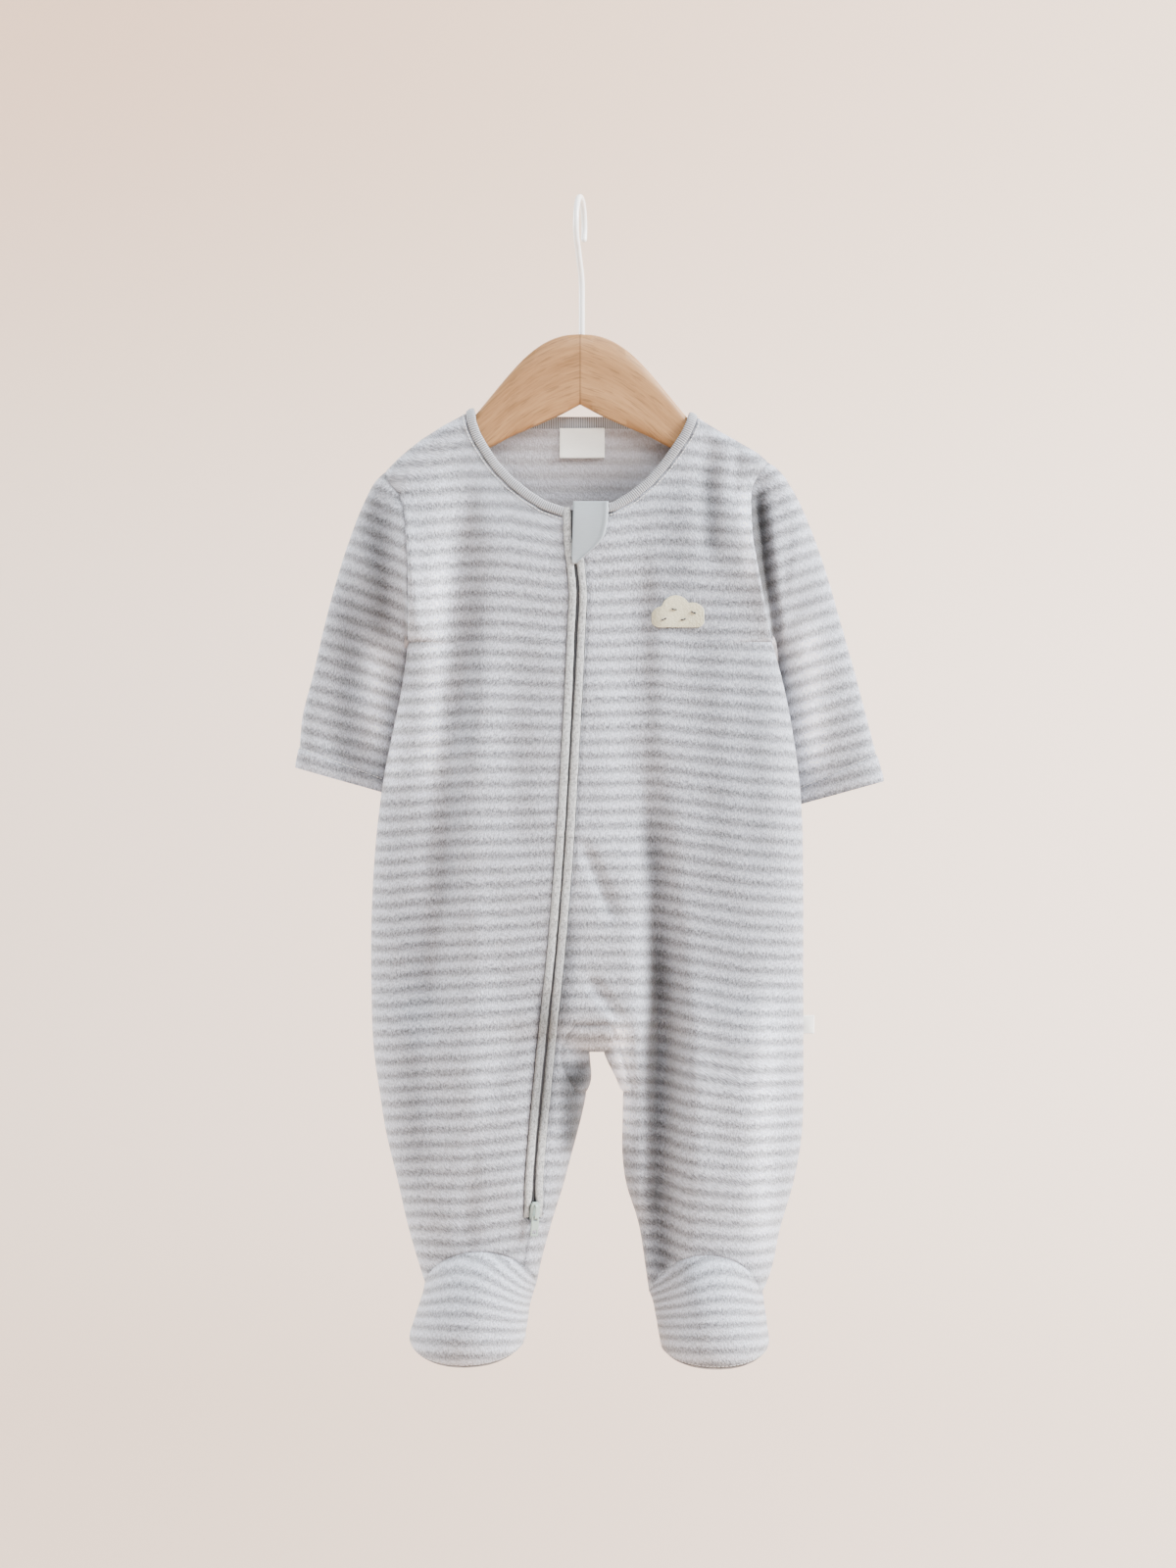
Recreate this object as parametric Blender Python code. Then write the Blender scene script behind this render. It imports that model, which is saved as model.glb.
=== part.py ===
"""A footed baby sleepsuit of striped fleece on a wooden hanger, for newborns.

The garment is one skin: a surface that follows the body, sleeves, legs and feet.
The skin is made of labelled patches, welded, and then cut along its seams, so each
panel becomes a closed wall of fleece that keeps a small gap to its neighbours.
The origin is the inner top of the hanger's hook, where it bears on a rail.
+Z is up, -Y is the garment's front, and +X is to the right of someone facing it.
The tables below are in millimetres, and the model is in metres.
"""

import math

import bmesh
import bpy
import numpy as np
from mathutils import Vector

MM = 0.001
FLEECE = 1.5
SEAM_GAP = 0.3
WELD = 0.02 * MM

# Heights where the body changes (mm below the hook's crest)
UNDERARM = -270.6
CROTCH = -520.8
INNER_TIP = -546.0
ZIP_TOP = -189.0
ZIP_END = -621.5
ZIP_CLOSED = -631.0
BINDING_WIDTH = 6.0
WELT_HALF = 5.9


class Table:
    """Rows of named columns; at() reads a column smoothly over the first one."""

    def __init__(self, columns, rows):
        self.columns = columns.split()
        self.values = np.array(sorted(rows), float)

    def at(self, column, where):
        x = self.values[:, 0]
        y = self.values[:, self.columns.index(column)]
        slope = np.gradient(y, x)
        k = np.clip(np.searchsorted(x, where) - 1, 0, len(x) - 2)
        step = x[k + 1] - x[k]
        t = np.clip((where - x[k]) / step, 0, 1)
        rise = (y[k + 1] - y[k]) * t * t * (3 - 2 * t)
        bend = step * t * (1 - t) * (slope[k] * (1 - t) - slope[k + 1] * t)
        return y[k] + rise + bend


# The body seen from the front: its two edges, which are the armholes above the underarm,
# and half its depth at the middle beyond what the hanger holds open.
BODY = Table(
    "height left right fullness",
    [
        (-131.0, -119.4, 115.2, 0.5),
        (-160.0, -119.4, 115.2, 2.5),
        (-167.0, -119.4, 110.5, 3.3),
        (-174.0, -116.5, 106.5, 4.5),
        (-181.0, -111.0, 105.0, 6.0),
        (-190.0, -108.2, 105.0, 7.8),
        (-206.0, -106.8, 105.8, 10.8),
        (-222.0, -105.8, 108.4, 14.0),
        (-240.0, -105.6, 111.8, 17.5),
        (-256.0, -105.6, 114.8, 20.0),
        (-270.6, -106.0, 118.0, 21.8),
        (-286.0, -107.6, 122.0, 23.0),
        (-300.0, -109.8, 125.4, 24.0),
        (-330.0, -115.8, 131.0, 26.0),
        (-350.0, -119.8, 133.8, 27.0),
        (-380.0, -124.0, 136.2, 28.5),
        (-420.0, -127.2, 136.8, 29.5),
        (-480.0, -128.0, 136.8, 30.0),
        (-522.0, -126.2, 136.8, 30.5),
        (-546.0, -122.8, 136.8, 30.5),
        (-570.0, -119.0, 136.0, 30.0),
        (-600.0, -111.8, 131.0, 28.5),
        (-630.0, -104.9, 122.4, 25.0),
        (-657.0, -96.9, 116.4, 21.5),
        (-675.0, -91.0, 109.0, 20.0),
    ],
)

# Lines that run down the front and back near the middle: the gusset's left seam, the
# left leg's inner line, the right leg's inner line and the gusset's right seam.
MIDDLE = Table(
    "height seam_left inner_left inner_right seam_right",
    [
        (-130.0, 10.5, 13.5, 20.0, 27.0),
        (-195.0, 10.5, 13.5, 20.0, 27.0),
        (-300.0, 6.5, 10.5, 18.0, 28.0),
        (-420.0, 0.0, 6.5, 16.0, 30.0),
        (-480.0, -3.0, 5.0, 15.2, 26.0),
        (-504.6, -3.0, 4.8, 15.0, 19.5),
        (-511.0, -7.0, 4.8, 15.0, 21.5),
        (-516.0, -9.5, 4.8, 15.0, 23.0),
        (-520.8, -11.0, 4.8, 15.2, 24.5),
        (-528.0, -10.4, 5.4, 18.0, 26.8),
        (-536.0, -7.5, 6.0, 22.2, 29.5),
        (-546.0, -2.6, 4.2, 25.6, 31.5),
        (-560.0, -7.5, 1.2, 25.8, 34.0),
        (-586.0, -14.0, -5.6, 25.8, 35.0),
        (-600.0, -16.8, -9.3, 27.6, 37.0),
        (-625.0, -23.5, -17.0, 35.2, 44.5),
        (-657.0, -30.5, -25.3, 40.4, 50.0),
        (-675.0, -33.0, -28.0, 43.0, 53.0),
    ],
)

# The zip's centre line, from the chin to the left leg's inner side, and the seam below it
ZIP = Table(
    "height across",
    [
        (-130.0, -5.0),
        (-189.0, -5.0),
        (-213.0, -4.2),
        (-226.0, -2.6),
        (-240.0, -1.4),
        (-262.0, -2.3),
        (-298.0, -3.9),
        (-322.0, -5.2),
        (-358.0, -7.2),
        (-394.0, -9.4),
        (-430.0, -12.1),
        (-466.0, -15.3),
        (-502.0, -19.1),
        (-538.0, -22.7),
        (-574.0, -26.1),
        (-598.0, -27.9),
        (-621.5, -28.9),
        (-640.0, -32.2),
        (-675.0, -38.0),
    ],
)

# The shoulder seams and the neckline, as seen from the front. A path starts at the tip.
SHOULDER_LEFT = [(-119.4, -166.2), (-111.6, -158.4), (-105.0, -152.6), (-95.4, -145.2),
                 (-82.8, -137.4), (-70.2, -130.6)]
SHOULDER_RIGHT = [(115.2, -160.4), (108.6, -154.6), (97.2, -148.0), (85.8, -141.6),
                  (72.0, -133.2)]
NECK_FRONT_LEFT = [(-70.2, -130.6), (-69.4, -137.0), (-66.4, -145.6), (-61.2, -154.6),
                   (-54.6, -164.4), (-44.4, -175.2), (-34.2, -183.4), (-23.4, -190.2),
                   (-10.9, -194.6)]
NECK_FRONT_RIGHT = [(72.0, -133.2), (70.6, -138.0), (67.2, -145.4), (60.0, -156.2),
                    (52.8, -165.8), (44.4, -175.2), (33.0, -184.6), (22.0, -191.2),
                    (0.9, -195.4)]
NECK_BACK_LEFT = [(-70.2, -130.6), (-69.6, -136.0), (-60.0, -137.4), (-46.0, -138.0),
                  (-20.0, -138.2), (4.0, -138.2)]
NECK_BACK_RIGHT = [(72.0, -133.2), (71.2, -138.2), (62.0, -138.6), (48.0, -138.4),
                   (20.0, -138.2), (4.0, -138.2)]
# The shoulder line carried on over the neck, which the depth is measured down from
CREST = Table(
    "across height",
    [(-119.4, -166.2), (-111.6, -158.4), (-95.4, -145.2), (-70.2, -130.6), (-40.0, -118.0),
     (0.0, -112.0), (40.0, -118.0), (72.0, -133.2), (97.2, -148.0), (115.2, -160.4)],
)

# Folds of the cloth: a soft trough (in) or ridge (out) along a line on one side of it
FOLDS = [
    # side, x and height at the top, x and height at the foot, half width, depth inwards
    ("front", 47.0, -385.0, 51.0, -672.0, 11.0, 7.0),
    ("front", 36.0, -440.0, 36.0, -640.0, 7.0, -1.6),
    ("front", 68.0, -420.0, 70.0, -640.0, 9.0, -1.4),
    ("front", -62.0, -215.0, -66.0, -640.0, 10.0, -1.8),
    ("front", -84.0, -330.0, -88.0, -610.0, 10.0, 2.2),
    ("front", -40.0, -230.0, -38.0, -420.0, 11.0, 1.8),
    ("front", 30.0, -250.0, 24.0, -420.0, 12.0, 1.6),
    ("front", 86.0, -215.0, 92.0, -440.0, 12.0, -1.8),
    ("front", -34.0, -496.0, -58.0, -560.0, 8.0, 1.6),
    ("back", 58.0, -330.0, 66.0, -640.0, 12.0, 4.0),
    ("back", -48.0, -360.0, -58.0, -640.0, 12.0, 4.0),
    ("back", 6.0, -180.0, 10.0, -400.0, 14.0, 2.4),
    ("back", -76.0, -220.0, -84.0, -420.0, 12.0, -1.8),
    ("back", 84.0, -220.0, 92.0, -420.0, 12.0, -1.8),
]

# Sleeves: the outer and the inner edge seen from the front, how far back each lies, half
# the sleeve's depth, and how far along the sleeve, from 0 at the armhole to 1 at the hem
SLEEVE_LEFT = Table(
    "along outer_x outer_z inner_x inner_z outer_y inner_y depth",
    [
        (0.00, -119.4, -166.2, -106.0, -270.6, 0.0, 0.0, 17.0),
        (0.05, -125.8, -173.0, -107.6, -272.6, 0.3, 1.5, 17.0),
        (0.12, -132.6, -186.0, -109.6, -278.0, 1.0, 5.0, 16.4),
        (0.25, -141.6, -209.0, -110.8, -291.0, 2.0, 11.5, 15.4),
        (0.40, -150.4, -236.6, -109.2, -307.0, 3.0, 17.5, 14.6),
        (0.55, -157.4, -263.4, -107.6, -323.0, 4.0, 22.0, 14.2),
        (0.70, -163.8, -291.0, -106.0, -339.0, 4.6, 25.5, 14.0),
        (0.84, -170.4, -317.4, -105.0, -353.0, 5.0, 28.0, 14.0),
        (0.93, -172.2, -335.8, -104.6, -361.2, 5.2, 29.2, 14.0),
        (1.00, -174.6, -347.6, -104.2, -367.6, 5.2, 30.0, 14.0),
    ],
)
SLEEVE_RIGHT = Table(
    "along outer_x outer_z inner_x inner_z outer_y inner_y depth",
    [
        (0.00, 115.2, -160.4, 118.0, -270.6, 0.0, 0.0, 17.0),
        (0.05, 122.6, -166.4, 121.8, -272.2, 0.2, 0.0, 16.0),
        (0.12, 130.4, -178.0, 125.2, -278.4, 0.8, 3.0, 16.0),
        (0.25, 140.6, -199.6, 126.4, -292.0, 2.0, 12.0, 15.4),
        (0.40, 150.6, -227.6, 125.6, -308.6, 3.0, 18.5, 14.6),
        (0.55, 159.4, -257.8, 123.6, -325.6, 4.0, 23.5, 14.2),
        (0.70, 168.4, -289.6, 121.6, -342.6, 4.6, 27.0, 14.0),
        (0.84, 175.8, -317.6, 120.0, -358.4, 5.0, 29.5, 14.0),
        (0.93, 181.6, -339.8, 119.0, -367.6, 5.2, 30.6, 14.0),
        (1.00, 186.2, -356.0, 118.2, -374.8, 5.2, 31.4, 14.0),
    ],
)
SLEEVE_STATIONS = [0, 0.03, 0.08, 0.15, 0.25, 0.37, 0.5, 0.63, 0.76, 0.87, 0.925, 0.935, 1.0]
HEM_START = 0.93
HEM_RAISE = 0.6

# Feet: the sole's heel and toe, its half widths there, how far the upper bulges past it,
# and how high the leg's front edge rises over the ankle
FEET = {
    "left": {
        "heel": (-66.0, 25.0, -682.0),
        "toe": (-70.8, -43.0, -713.0),
        "half_heel": 26.5,
        "half_toe": 34.8,
        "ankle": -662.0,
        "rise": 19.5,
    },
    "right": {
        "heel": (81.0, 25.0, -688.0),
        "toe": (82.8, -42.0, -714.8),
        "half_heel": 25.0,
        "half_toe": 32.7,
        "ankle": -668.0,
        "rise": 14.0,
    },
}

# How the rows and columns of the skin lie
UPPER_ROWS = [0, 0.006, 0.02, 0.045, 0.08, 0.15, 0.26, 0.4, 0.55, 0.7, 0.83, 0.93, 1.0]
MIDDLE_ROWS = [-292.0, -318.0, -346.0, -374.0, -402.0, -430.0, -458.0, -484.0, -504.6,
               -511.0, -516.0, -519.4, CROTCH, -526.0, -532.0, -539.0, INNER_TIP]
LOWER_ROWS = [0.13, 0.27, 0.42, 0.57, 0.72, 0.86, 1.0]
SIDE_SHARES = [0, 0.02, 0.065, 0.14, 0.25]
SHOULDER_SHARES = [0, 0.25, 0.5, 0.75, 1.0]
GUSSET_TOP, GUSSET_FOOT = -504.6, INNER_TIP

# The hanger's half outline from its middle: how far out, its top and its underside
HANGER = Table(
    "across top underside",
    [
        (0.0, -82.2, -125.4),
        (11.0, -83.4, -131.2),
        (22.0, -87.8, -136.2),
        (33.0, -96.0, -141.0),
        (43.0, -106.4, -145.4),
        (53.5, -119.0, -151.0),
        (63.5, -131.2, -156.0),
        (70.0, -138.6, -159.2),
        (84.0, -145.6, -166.0),
        (96.0, -152.4, -171.0),
        (104.0, -157.6, -173.0),
    ],
)
HANGER_STATIONS = [0, 3, 7, 11, 16, 22, 27, 33, 38, 43, 48, 53.5, 58, 63.5, 70, 77, 84, 96, 104]
HANGER_THICK = 12.0
HANGER_ROUND = 3.6
HANGER_END = (108.5, -164.5)
WIRE_RADIUS = 1.8
HOOK_RADIUS = 17.4
HOOK_TURN = math.radians(8.5)
HOOK_SHIFT = 1.0
STEM_DEPTH = 14.0

# The lower zip slider, the turn of the leg's surface there, and its pull tab
SLIDER_TURN = math.radians(24.0)
SLIDER_HEIGHT = -617.0
SLIDER_BODY = [(-2.5, -5.5), (2.5, -5.5), (3.0, -4.0), (3.0, 1.0), (2.6, 4.2), (1.6, 5.5),
               (-1.6, 5.5), (-2.6, 4.2), (-3.0, 1.0), (-3.0, -4.0)]
SLIDER_LIFT, SLIDER_THICK = 1.4, 1.8
BRIDGE_HALF = 0.9
BRIDGE = [(-4.5, 3.0), (-3.7, 3.0), (-3.7, 4.6), (2.8, 4.6), (3.3, 4.1), (3.3, 3.0),
          (4.2, 3.0), (4.2, 4.6), (3.4, 5.3), (-4.0, 5.3), (-4.5, 4.9)]
PULL_AXIS_ALONG, PULL_AXIS_LIFT = -3.0, 3.9
PULL_HALF_THICK = 0.4
PULL_ACROSS = [-2.4, -1.5, -1.3, 1.3, 1.5, 2.4]
PULL_DOWN = [0.4, -0.4, -3.0, -8.8, -11.2, -12.4]
# Cells of that grid, by row and column, that are left open
PULL_HOLES = [(1, 2), (3, 1), (3, 2), (3, 3)]

# The ribbon tab that covers the zip's top: its left and right edge at each height
GARAGE = Table(
    "height left right",
    [
        (-185.6, -5.0, 17.3),
        (-191.0, -5.0, 17.1),
        (-197.4, -5.2, 16.8),
        (-203.0, -5.4, 15.8),
        (-207.6, -5.4, 14.2),
        (-211.8, -5.4, 10.8),
        (-215.4, -5.2, 6.8),
        (-220.0, -5.0, 1.4),
        (-223.6, -4.6, -2.4),
    ],
)
GARAGE_ROWS = [-185.6, -191.0, -197.4, -202.5, -207.6, -211.0, -215.4, -219.0, -223.6]
GARAGE_LIFT, GARAGE_THICK = 1.5, 1.0
NECK_LABEL = {"left": -12.6, "right": 15.0, "top": -139.2, "foot": -157.2}
SIDE_TAG = {"near": 137.2, "far": 143.4, "top": -499.2, "foot": -510.6, "half_thick": 0.5}
# The chest patch, a cloud: its middle, its lobes (across, up, radius) and its flat base
PATCH_MIDDLE = (59.7, -253.6)
PATCH_LOBES = [(-9.6, -2.6, 6.8), (-1.5, 2.4, 8.6), (9.0, -0.8, 7.4)]
PATCH_BASE = -8.6
PATCH_LIFT, PATCH_THICK = 0.35, 0.8
BINDING_GAP, BINDING_LIFT, BINDING_SINK = 0.55, 0.6, -1.6
BINDING_ROLL = 0.8
# How far along each stretch of the neckline the binding bends, from the neck point
NECK_WALKS = {
    "front_left": [1.0, 0.915, 0.83, 0.735, 0.64, 0.545, 0.45, 0.345, 0.24, 0.155, 0.07],
    "back_left": [0.08, 0.17, 0.26, 0.52, 0.77, 1.0],
    "front_right": [1.0, 0.89, 0.78, 0.68, 0.58, 0.49, 0.4, 0.31, 0.22, 0.14, 0.065],
    "back_right": [0.075, 0.155, 0.24, 0.46, 0.68],
}

COLOURS = {
    "fleece": (0.62, 0.63, 0.66),
    "binding": (0.55, 0.56, 0.60),
    "welt": (0.68, 0.69, 0.69),
    "tape": (0.20, 0.21, 0.23),
    "enamel": (0.55, 0.62, 0.61),
    "ribbon": (0.53, 0.57, 0.60),
    "label": (0.84, 0.86, 0.82),
    "patch": (0.72, 0.71, 0.61),
    "wood": (0.59, 0.40, 0.24),
    "wire": (0.88, 0.90, 0.90),
}
ROUGHNESS = {"enamel": 0.35, "wire": 0.35, "wood": 0.5, "ribbon": 0.6}


def smooth(t):
    """Rises from 0 to 1 with level ends."""
    t = np.clip(t, 0, 1)
    return t * t * (3 - 2 * t)


def along_path(path, share):
    """The point that lies that share of the path's length from its start."""
    points = np.array(path, float)
    steps = np.hypot(*np.diff(points, axis=0).T)
    reach = np.concatenate([[0], np.cumsum(steps)])
    return np.array([np.interp(share * reach[-1], reach, points[:, k]) for k in (0, 1)])


# ---------------------------------------------------------------- the body's surface


def round_off(t, power=2.3):
    """Depth of a flattened tube across its width, where t runs from -1 to 1."""
    return np.clip(1 - np.abs(t) ** power, 0, 1) ** (1 / power)


def across(x, left, right):
    """Where x lies between two edges, from -1 to 1."""
    return np.clip((2 * x - left - right) / max(right - left, 1e-6), -1, 1)


def armhole_depth(z):
    """Half the armhole's width: narrow over the hanger, closing at the underarm."""
    middle = -220.0
    if z >= middle:
        return 8.2 + 8.8 * smooth((-168.0 - z) / 40.0)
    return 17.0 * math.sqrt(max(0.0, 1 - ((middle - z) / (middle - UNDERARM)) ** 2))


def fold_depth(side, x, z):
    """How far the folds pull the cloth in at a point, from the table of folds."""
    total = 0.0
    for where, x0, z0, x1, z1, half, depth in FOLDS:
        if where != side:
            continue
        length = math.hypot(x1 - x0, z1 - z0)
        ux, uz = (x1 - x0) / length, (z1 - z0) / length
        far = (x - x0) * ux + (z - z0) * uz
        off = (x - x0) * uz - (z - z0) * ux
        ends = smooth(far / (0.3 * length)) * smooth((length - far) / (0.25 * length))
        total += depth * ends * math.exp(-((off / half) ** 2))
    return total


def depth_at(side, x, z):
    """Half depth of the body or leg at a point of its front or back."""
    left, right = BODY.at("left", z), BODY.at("right", z)
    full = BODY.at("fullness", z)
    roll_height = 7.0
    below = np.clip(CREST.at("height", x) - z, 0, roll_height)
    roll = math.sqrt(max(0.0, 1 - (1 - below / roll_height) ** 2))
    t = across(x, left, right)
    edge = abs(t) ** 5 if z < -150.0 else 0.0
    held = 8.2 * smooth((z - UNDERARM) / 80.0)
    rim = armhole_depth(z) if z > UNDERARM else 0.0
    torso = roll * (rim * edge + held * (1 - edge) + full * round_off(t))
    closing = np.clip((z - CROTCH) / 26.0, 0, 1)
    torso *= math.sqrt(max(0.0, 1 - (1 - closing) ** 2))
    inner_left = MIDDLE.at("inner_left", z)
    inner_right = MIDDLE.at("inner_right", z)
    lobe = 0.0
    if x <= inner_left:
        lobe = full * round_off(across(x, left, inner_left))
    elif x >= inner_right:
        lobe = full * round_off(across(x, inner_right, right))
    lobe *= 1 - smooth((z - CROTCH) / 90.0)
    power = 6
    depth = (torso**power + lobe**power) ** (1 / power)
    folds = fold_depth(side, x, z) * smooth(depth / 14.0)
    return max(0.0, depth - folds)


def on_body(side, x, z, lift=0.0):
    """A point on the body's front or back, in metres, moved out by lift."""
    sign = -1 if side == "front" else 1
    step = 0.6
    slope_x = (depth_at(side, x + step, z) - depth_at(side, x - step, z)) / (2 * step)
    slope_z = (depth_at(side, x, z + step) - depth_at(side, x, z - step)) / (2 * step)
    normal = Vector((-slope_x, sign, -slope_z)).normalized()
    point = Vector((x, sign * depth_at(side, x, z), z))
    return (point + normal * lift) * MM


# ---------------------------------------------------------------- columns and rows


def zip_half(z):
    """Half the width that the zip and its welts take; it closes below the zip's end."""
    return WELT_HALF * smooth((z - ZIP_CLOSED) / (ZIP_END - ZIP_CLOSED))


def line_at(name, z):
    """Where one of the named lines that run down the body lies at a height."""
    if name == "left":
        return BODY.at("left", z)
    if name == "right":
        return BODY.at("right", z)
    if name == "zip_left":
        return ZIP.at("across", z) - zip_half(z)
    if name == "zip_right":
        return ZIP.at("across", z) + zip_half(z)
    return MIDDLE.at(name, z)


class Column:
    """A line of the skin: a share of the way between two named lines, from its top."""

    def __init__(self, first, last, share, top, foot):
        self.first, self.last = first, last
        self.share = share
        self.top = top
        self.foot = foot
        x, z = top
        start, end = line_at(first, z), line_at(last, z)
        self.top_share = (x - start) / (end - start) if first != last else 0.0

    def point(self, z, blend=1.0):
        share = self.top_share + (self.share - self.top_share) * smooth(blend)
        start, end = line_at(self.first, z), line_at(self.last, z)
        return start + (end - start) * share

    def heights(self):
        """Each row's height, with how far the column has left its place at the top."""
        top = self.top[1]
        rows = [(top + (UNDERARM - top) * f, f) for f in UPPER_ROWS]
        rows += [(z, 1.0) for z in MIDDLE_ROWS]
        rows += [(INNER_TIP + (self.foot - INNER_TIP) * f, 1.0) for f in LOWER_ROWS]
        return rows


def foot_height(side, leg, x):
    """Height of the leg's lower edge: an arch over the instep, level behind."""
    foot = FEET[leg]
    if side == "back":
        return foot["ankle"]
    lines = ("left", "inner_left") if leg == "left" else ("inner_right", "right")
    edges = [line_at(name, foot["ankle"]) for name in lines]
    t = across(x, *edges)
    return foot["ankle"] + foot["rise"] * (1 - t * t) ** 0.8


def make_column(side, leg, first, last, share, top):
    x = line_at(first, -660.0) + (line_at(last, -660.0) - line_at(first, -660.0)) * share
    return Column(first, last, share, top, foot_height(side, leg, x))


def shoulder_columns(side, leg, near, far, path):
    """The columns between the side edge and the neck point, from the side inwards."""
    return [
        make_column(side, leg, near, far, share, along_path(path, walk))
        for share, walk in zip(SIDE_SHARES, SHOULDER_SHARES)
    ]


def front_columns():
    """The front's zones, each a list of columns from the picture's left to its right."""
    a = shoulder_columns("front", "left", "left", "zip_left", SHOULDER_LEFT)
    shares = [0.33, 0.44, 0.57, 0.71, 0.86, 1.0]
    for share, walk in zip(shares, [0.07, 0.24, 0.45, 0.64, 0.83, 1.0]):
        a.append(make_column("front", "left", "left", "zip_left", share,
                             along_path(NECK_FRONT_LEFT, walk)))
    b = [
        make_column("front", "left", "zip_right", "seam_left", share, (x, -195.2))
        for share, x in [(0.0, 0.9), (0.5, 5.6), (1.0, 10.5)]
    ]
    b.append(make_column("front", "left", "seam_left", "inner_left", 0.6, (12.2, -195.0)))
    b.append(make_column("front", "left", "seam_left", "inner_left", 1.0, (13.5, -194.6)))
    c = [
        make_column("front", "right", "inner_right", "seam_right", share, top)
        for share, top in [(0.0, (20.0, -192.0)), (0.4, (23.2, -190.4)), (1.0, (27.0, -188.2))]
    ]
    for share, walk in zip([0.15, 0.31, 0.46, 0.59], [0.58, 0.40, 0.22, 0.065]):
        c.append(make_column("front", "right", "seam_right", "right", share,
                             along_path(NECK_FRONT_RIGHT, walk)))
    c += mirrored_shoulder("front")
    halfway = make_column("front", "left", "inner_left", "inner_right", 0.5, (16.8, -193.4))
    return a, b, [b[-1], halfway, c[0]], c


def mirrored_shoulder(side):
    """The right shoulder's columns, from the neck point out to the side edge."""
    return [
        make_column(side, "right", "seam_right", "right", 1 - share,
                    along_path(SHOULDER_RIGHT, walk))
        for share, walk in reversed(list(zip([0, 0.025, 0.085, 0.18, 0.31],
                                             SHOULDER_SHARES)))
    ]


def back_columns():
    """The back's zones, in the same order as the front's, seen through from the front."""
    left = shoulder_columns("back", "left", "left", "zip_left", SHOULDER_LEFT)
    for share, walk in zip([0.35, 0.50, 0.66, 0.83], [0.08, 0.26, 0.52, 0.77]):
        left.append(make_column("back", "left", "left", "seam_left", share,
                                along_path(NECK_BACK_LEFT, walk)))
    tops = [(-2.0, -138.2), (2.0, -138.2), (6.0, -138.2)]
    places = [("seam_left", 0.0), ("seam_left", 0.6), ("seam_left", 1.0)]
    for (name, share), top in zip(places, tops):
        left.append(make_column("back", "left", name, "inner_left", share, top))
    right = [
        make_column("back", "right", "inner_right", "seam_right", share, (x, -138.2))
        for share, x in [(0.0, 14.0), (0.4, 18.0), (1.0, 22.0)]
    ]
    for share, walk in zip([0.15, 0.31, 0.46, 0.59], [0.68, 0.46, 0.24, 0.075]):
        right.append(make_column("back", "right", "seam_right", "right", share,
                                 along_path(NECK_BACK_RIGHT, walk)))
    right += mirrored_shoulder("back")
    halfway = make_column("back", "left", "inner_left", "inner_right", 0.5, (10.0, -138.2))
    return left, [left[-1], halfway, right[0]], right


def patch_points(side, columns):
    """The grid of points, rows down and columns to the right, of one zone."""
    grid = []
    for column in columns:
        line = []
        for index, (z, blend) in enumerate(column.heights()):
            x = column.top[0] if index == 0 else column.point(z, blend)
            deep = depth_at(side, x, z)
            line.append((x, deep if side == "back" else -deep, z))
        grid.append(line)
    return np.array(grid).transpose(1, 0, 2)


# ---------------------------------------------------------------- the skin


class Skin:
    """One surface of labelled patches, welded and then cut into walls of cloth."""

    def __init__(self):
        self.mesh = bmesh.new()
        self.label = self.mesh.faces.layers.int.new("piece")
        self.names = []

    def number(self, name):
        if name not in self.names:
            self.names.append(name)
        return self.names.index(name)

    def add(self, points, name, flip=False, closed=False):
        """Adds a grid of points in mm; name is a label, or a function of row and column."""
        rows, columns = points.shape[:2]
        verts = [[self.mesh.verts.new(p * MM) for p in row] for row in points]
        for i in range(rows - 1):
            for j in range(columns if closed else columns - 1):
                k = (j + 1) % columns
                label = name(i, j) if callable(name) else name
                if label is None:
                    continue
                corners = [verts[i][j], verts[i + 1][j], verts[i + 1][k], verts[i][k]]
                if flip:
                    corners.reverse()
                face = self.mesh.faces.new(corners)
                face[self.label] = self.number(label)

    def weld(self):
        bmesh.ops.remove_doubles(self.mesh, verts=self.mesh.verts, dist=WELD)
        bmesh.ops.dissolve_degenerate(self.mesh, edges=self.mesh.edges, dist=WELD)
        loose = [v for v in self.mesh.verts if not v.link_faces]
        bmesh.ops.delete(self.mesh, geom=loose, context="VERTS")
        self.mesh.normal_update()

    def cut(self, name, thick=FLEECE):
        """The closed wall of one label: its outer faces, inner faces and rims."""
        number = self.names.index(name)
        faces = [f for f in self.mesh.faces if f[self.label] == number]
        verts = list({v: None for f in faces for v in f.verts})
        index = {v: k for k, v in enumerate(verts)}
        pull = {v: Vector() for v in verts}
        rims = []
        for face in faces:
            for loop in face.loops:
                a, b = loop.vert, loop.link_loop_next.vert
                if sum(f[self.label] == number for f in loop.edge.link_faces) == 1:
                    rims.append((index[a], index[b]))
                    inward = face.normal.cross(b.co - a.co).normalized()
                    for v in (a, b):
                        pull[v] += inward
        outer = [v.co + self.shift(pull[v]) for v in verts]
        inner = [p - v.normal * thick * MM for p, v in zip(outer, verts)]
        count = len(verts)
        polygons = [[index[v] for v in f.verts] for f in faces]
        walls = [[k + count for k in reversed(p)] for p in polygons]
        walls += [[b, a, a + count, b + count] for a, b in rims]
        return outer + inner, polygons + walls

    def shift(self, pull):
        """How far an edge point moves in from the seam: half the gap, more at corners."""
        if pull.length < 1e-6:
            return pull * 0.0
        sharp = min(1.0, max(0.45, pull.length / 2))
        return pull.normalized() * (SEAM_GAP / 2 / sharp) * MM


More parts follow.
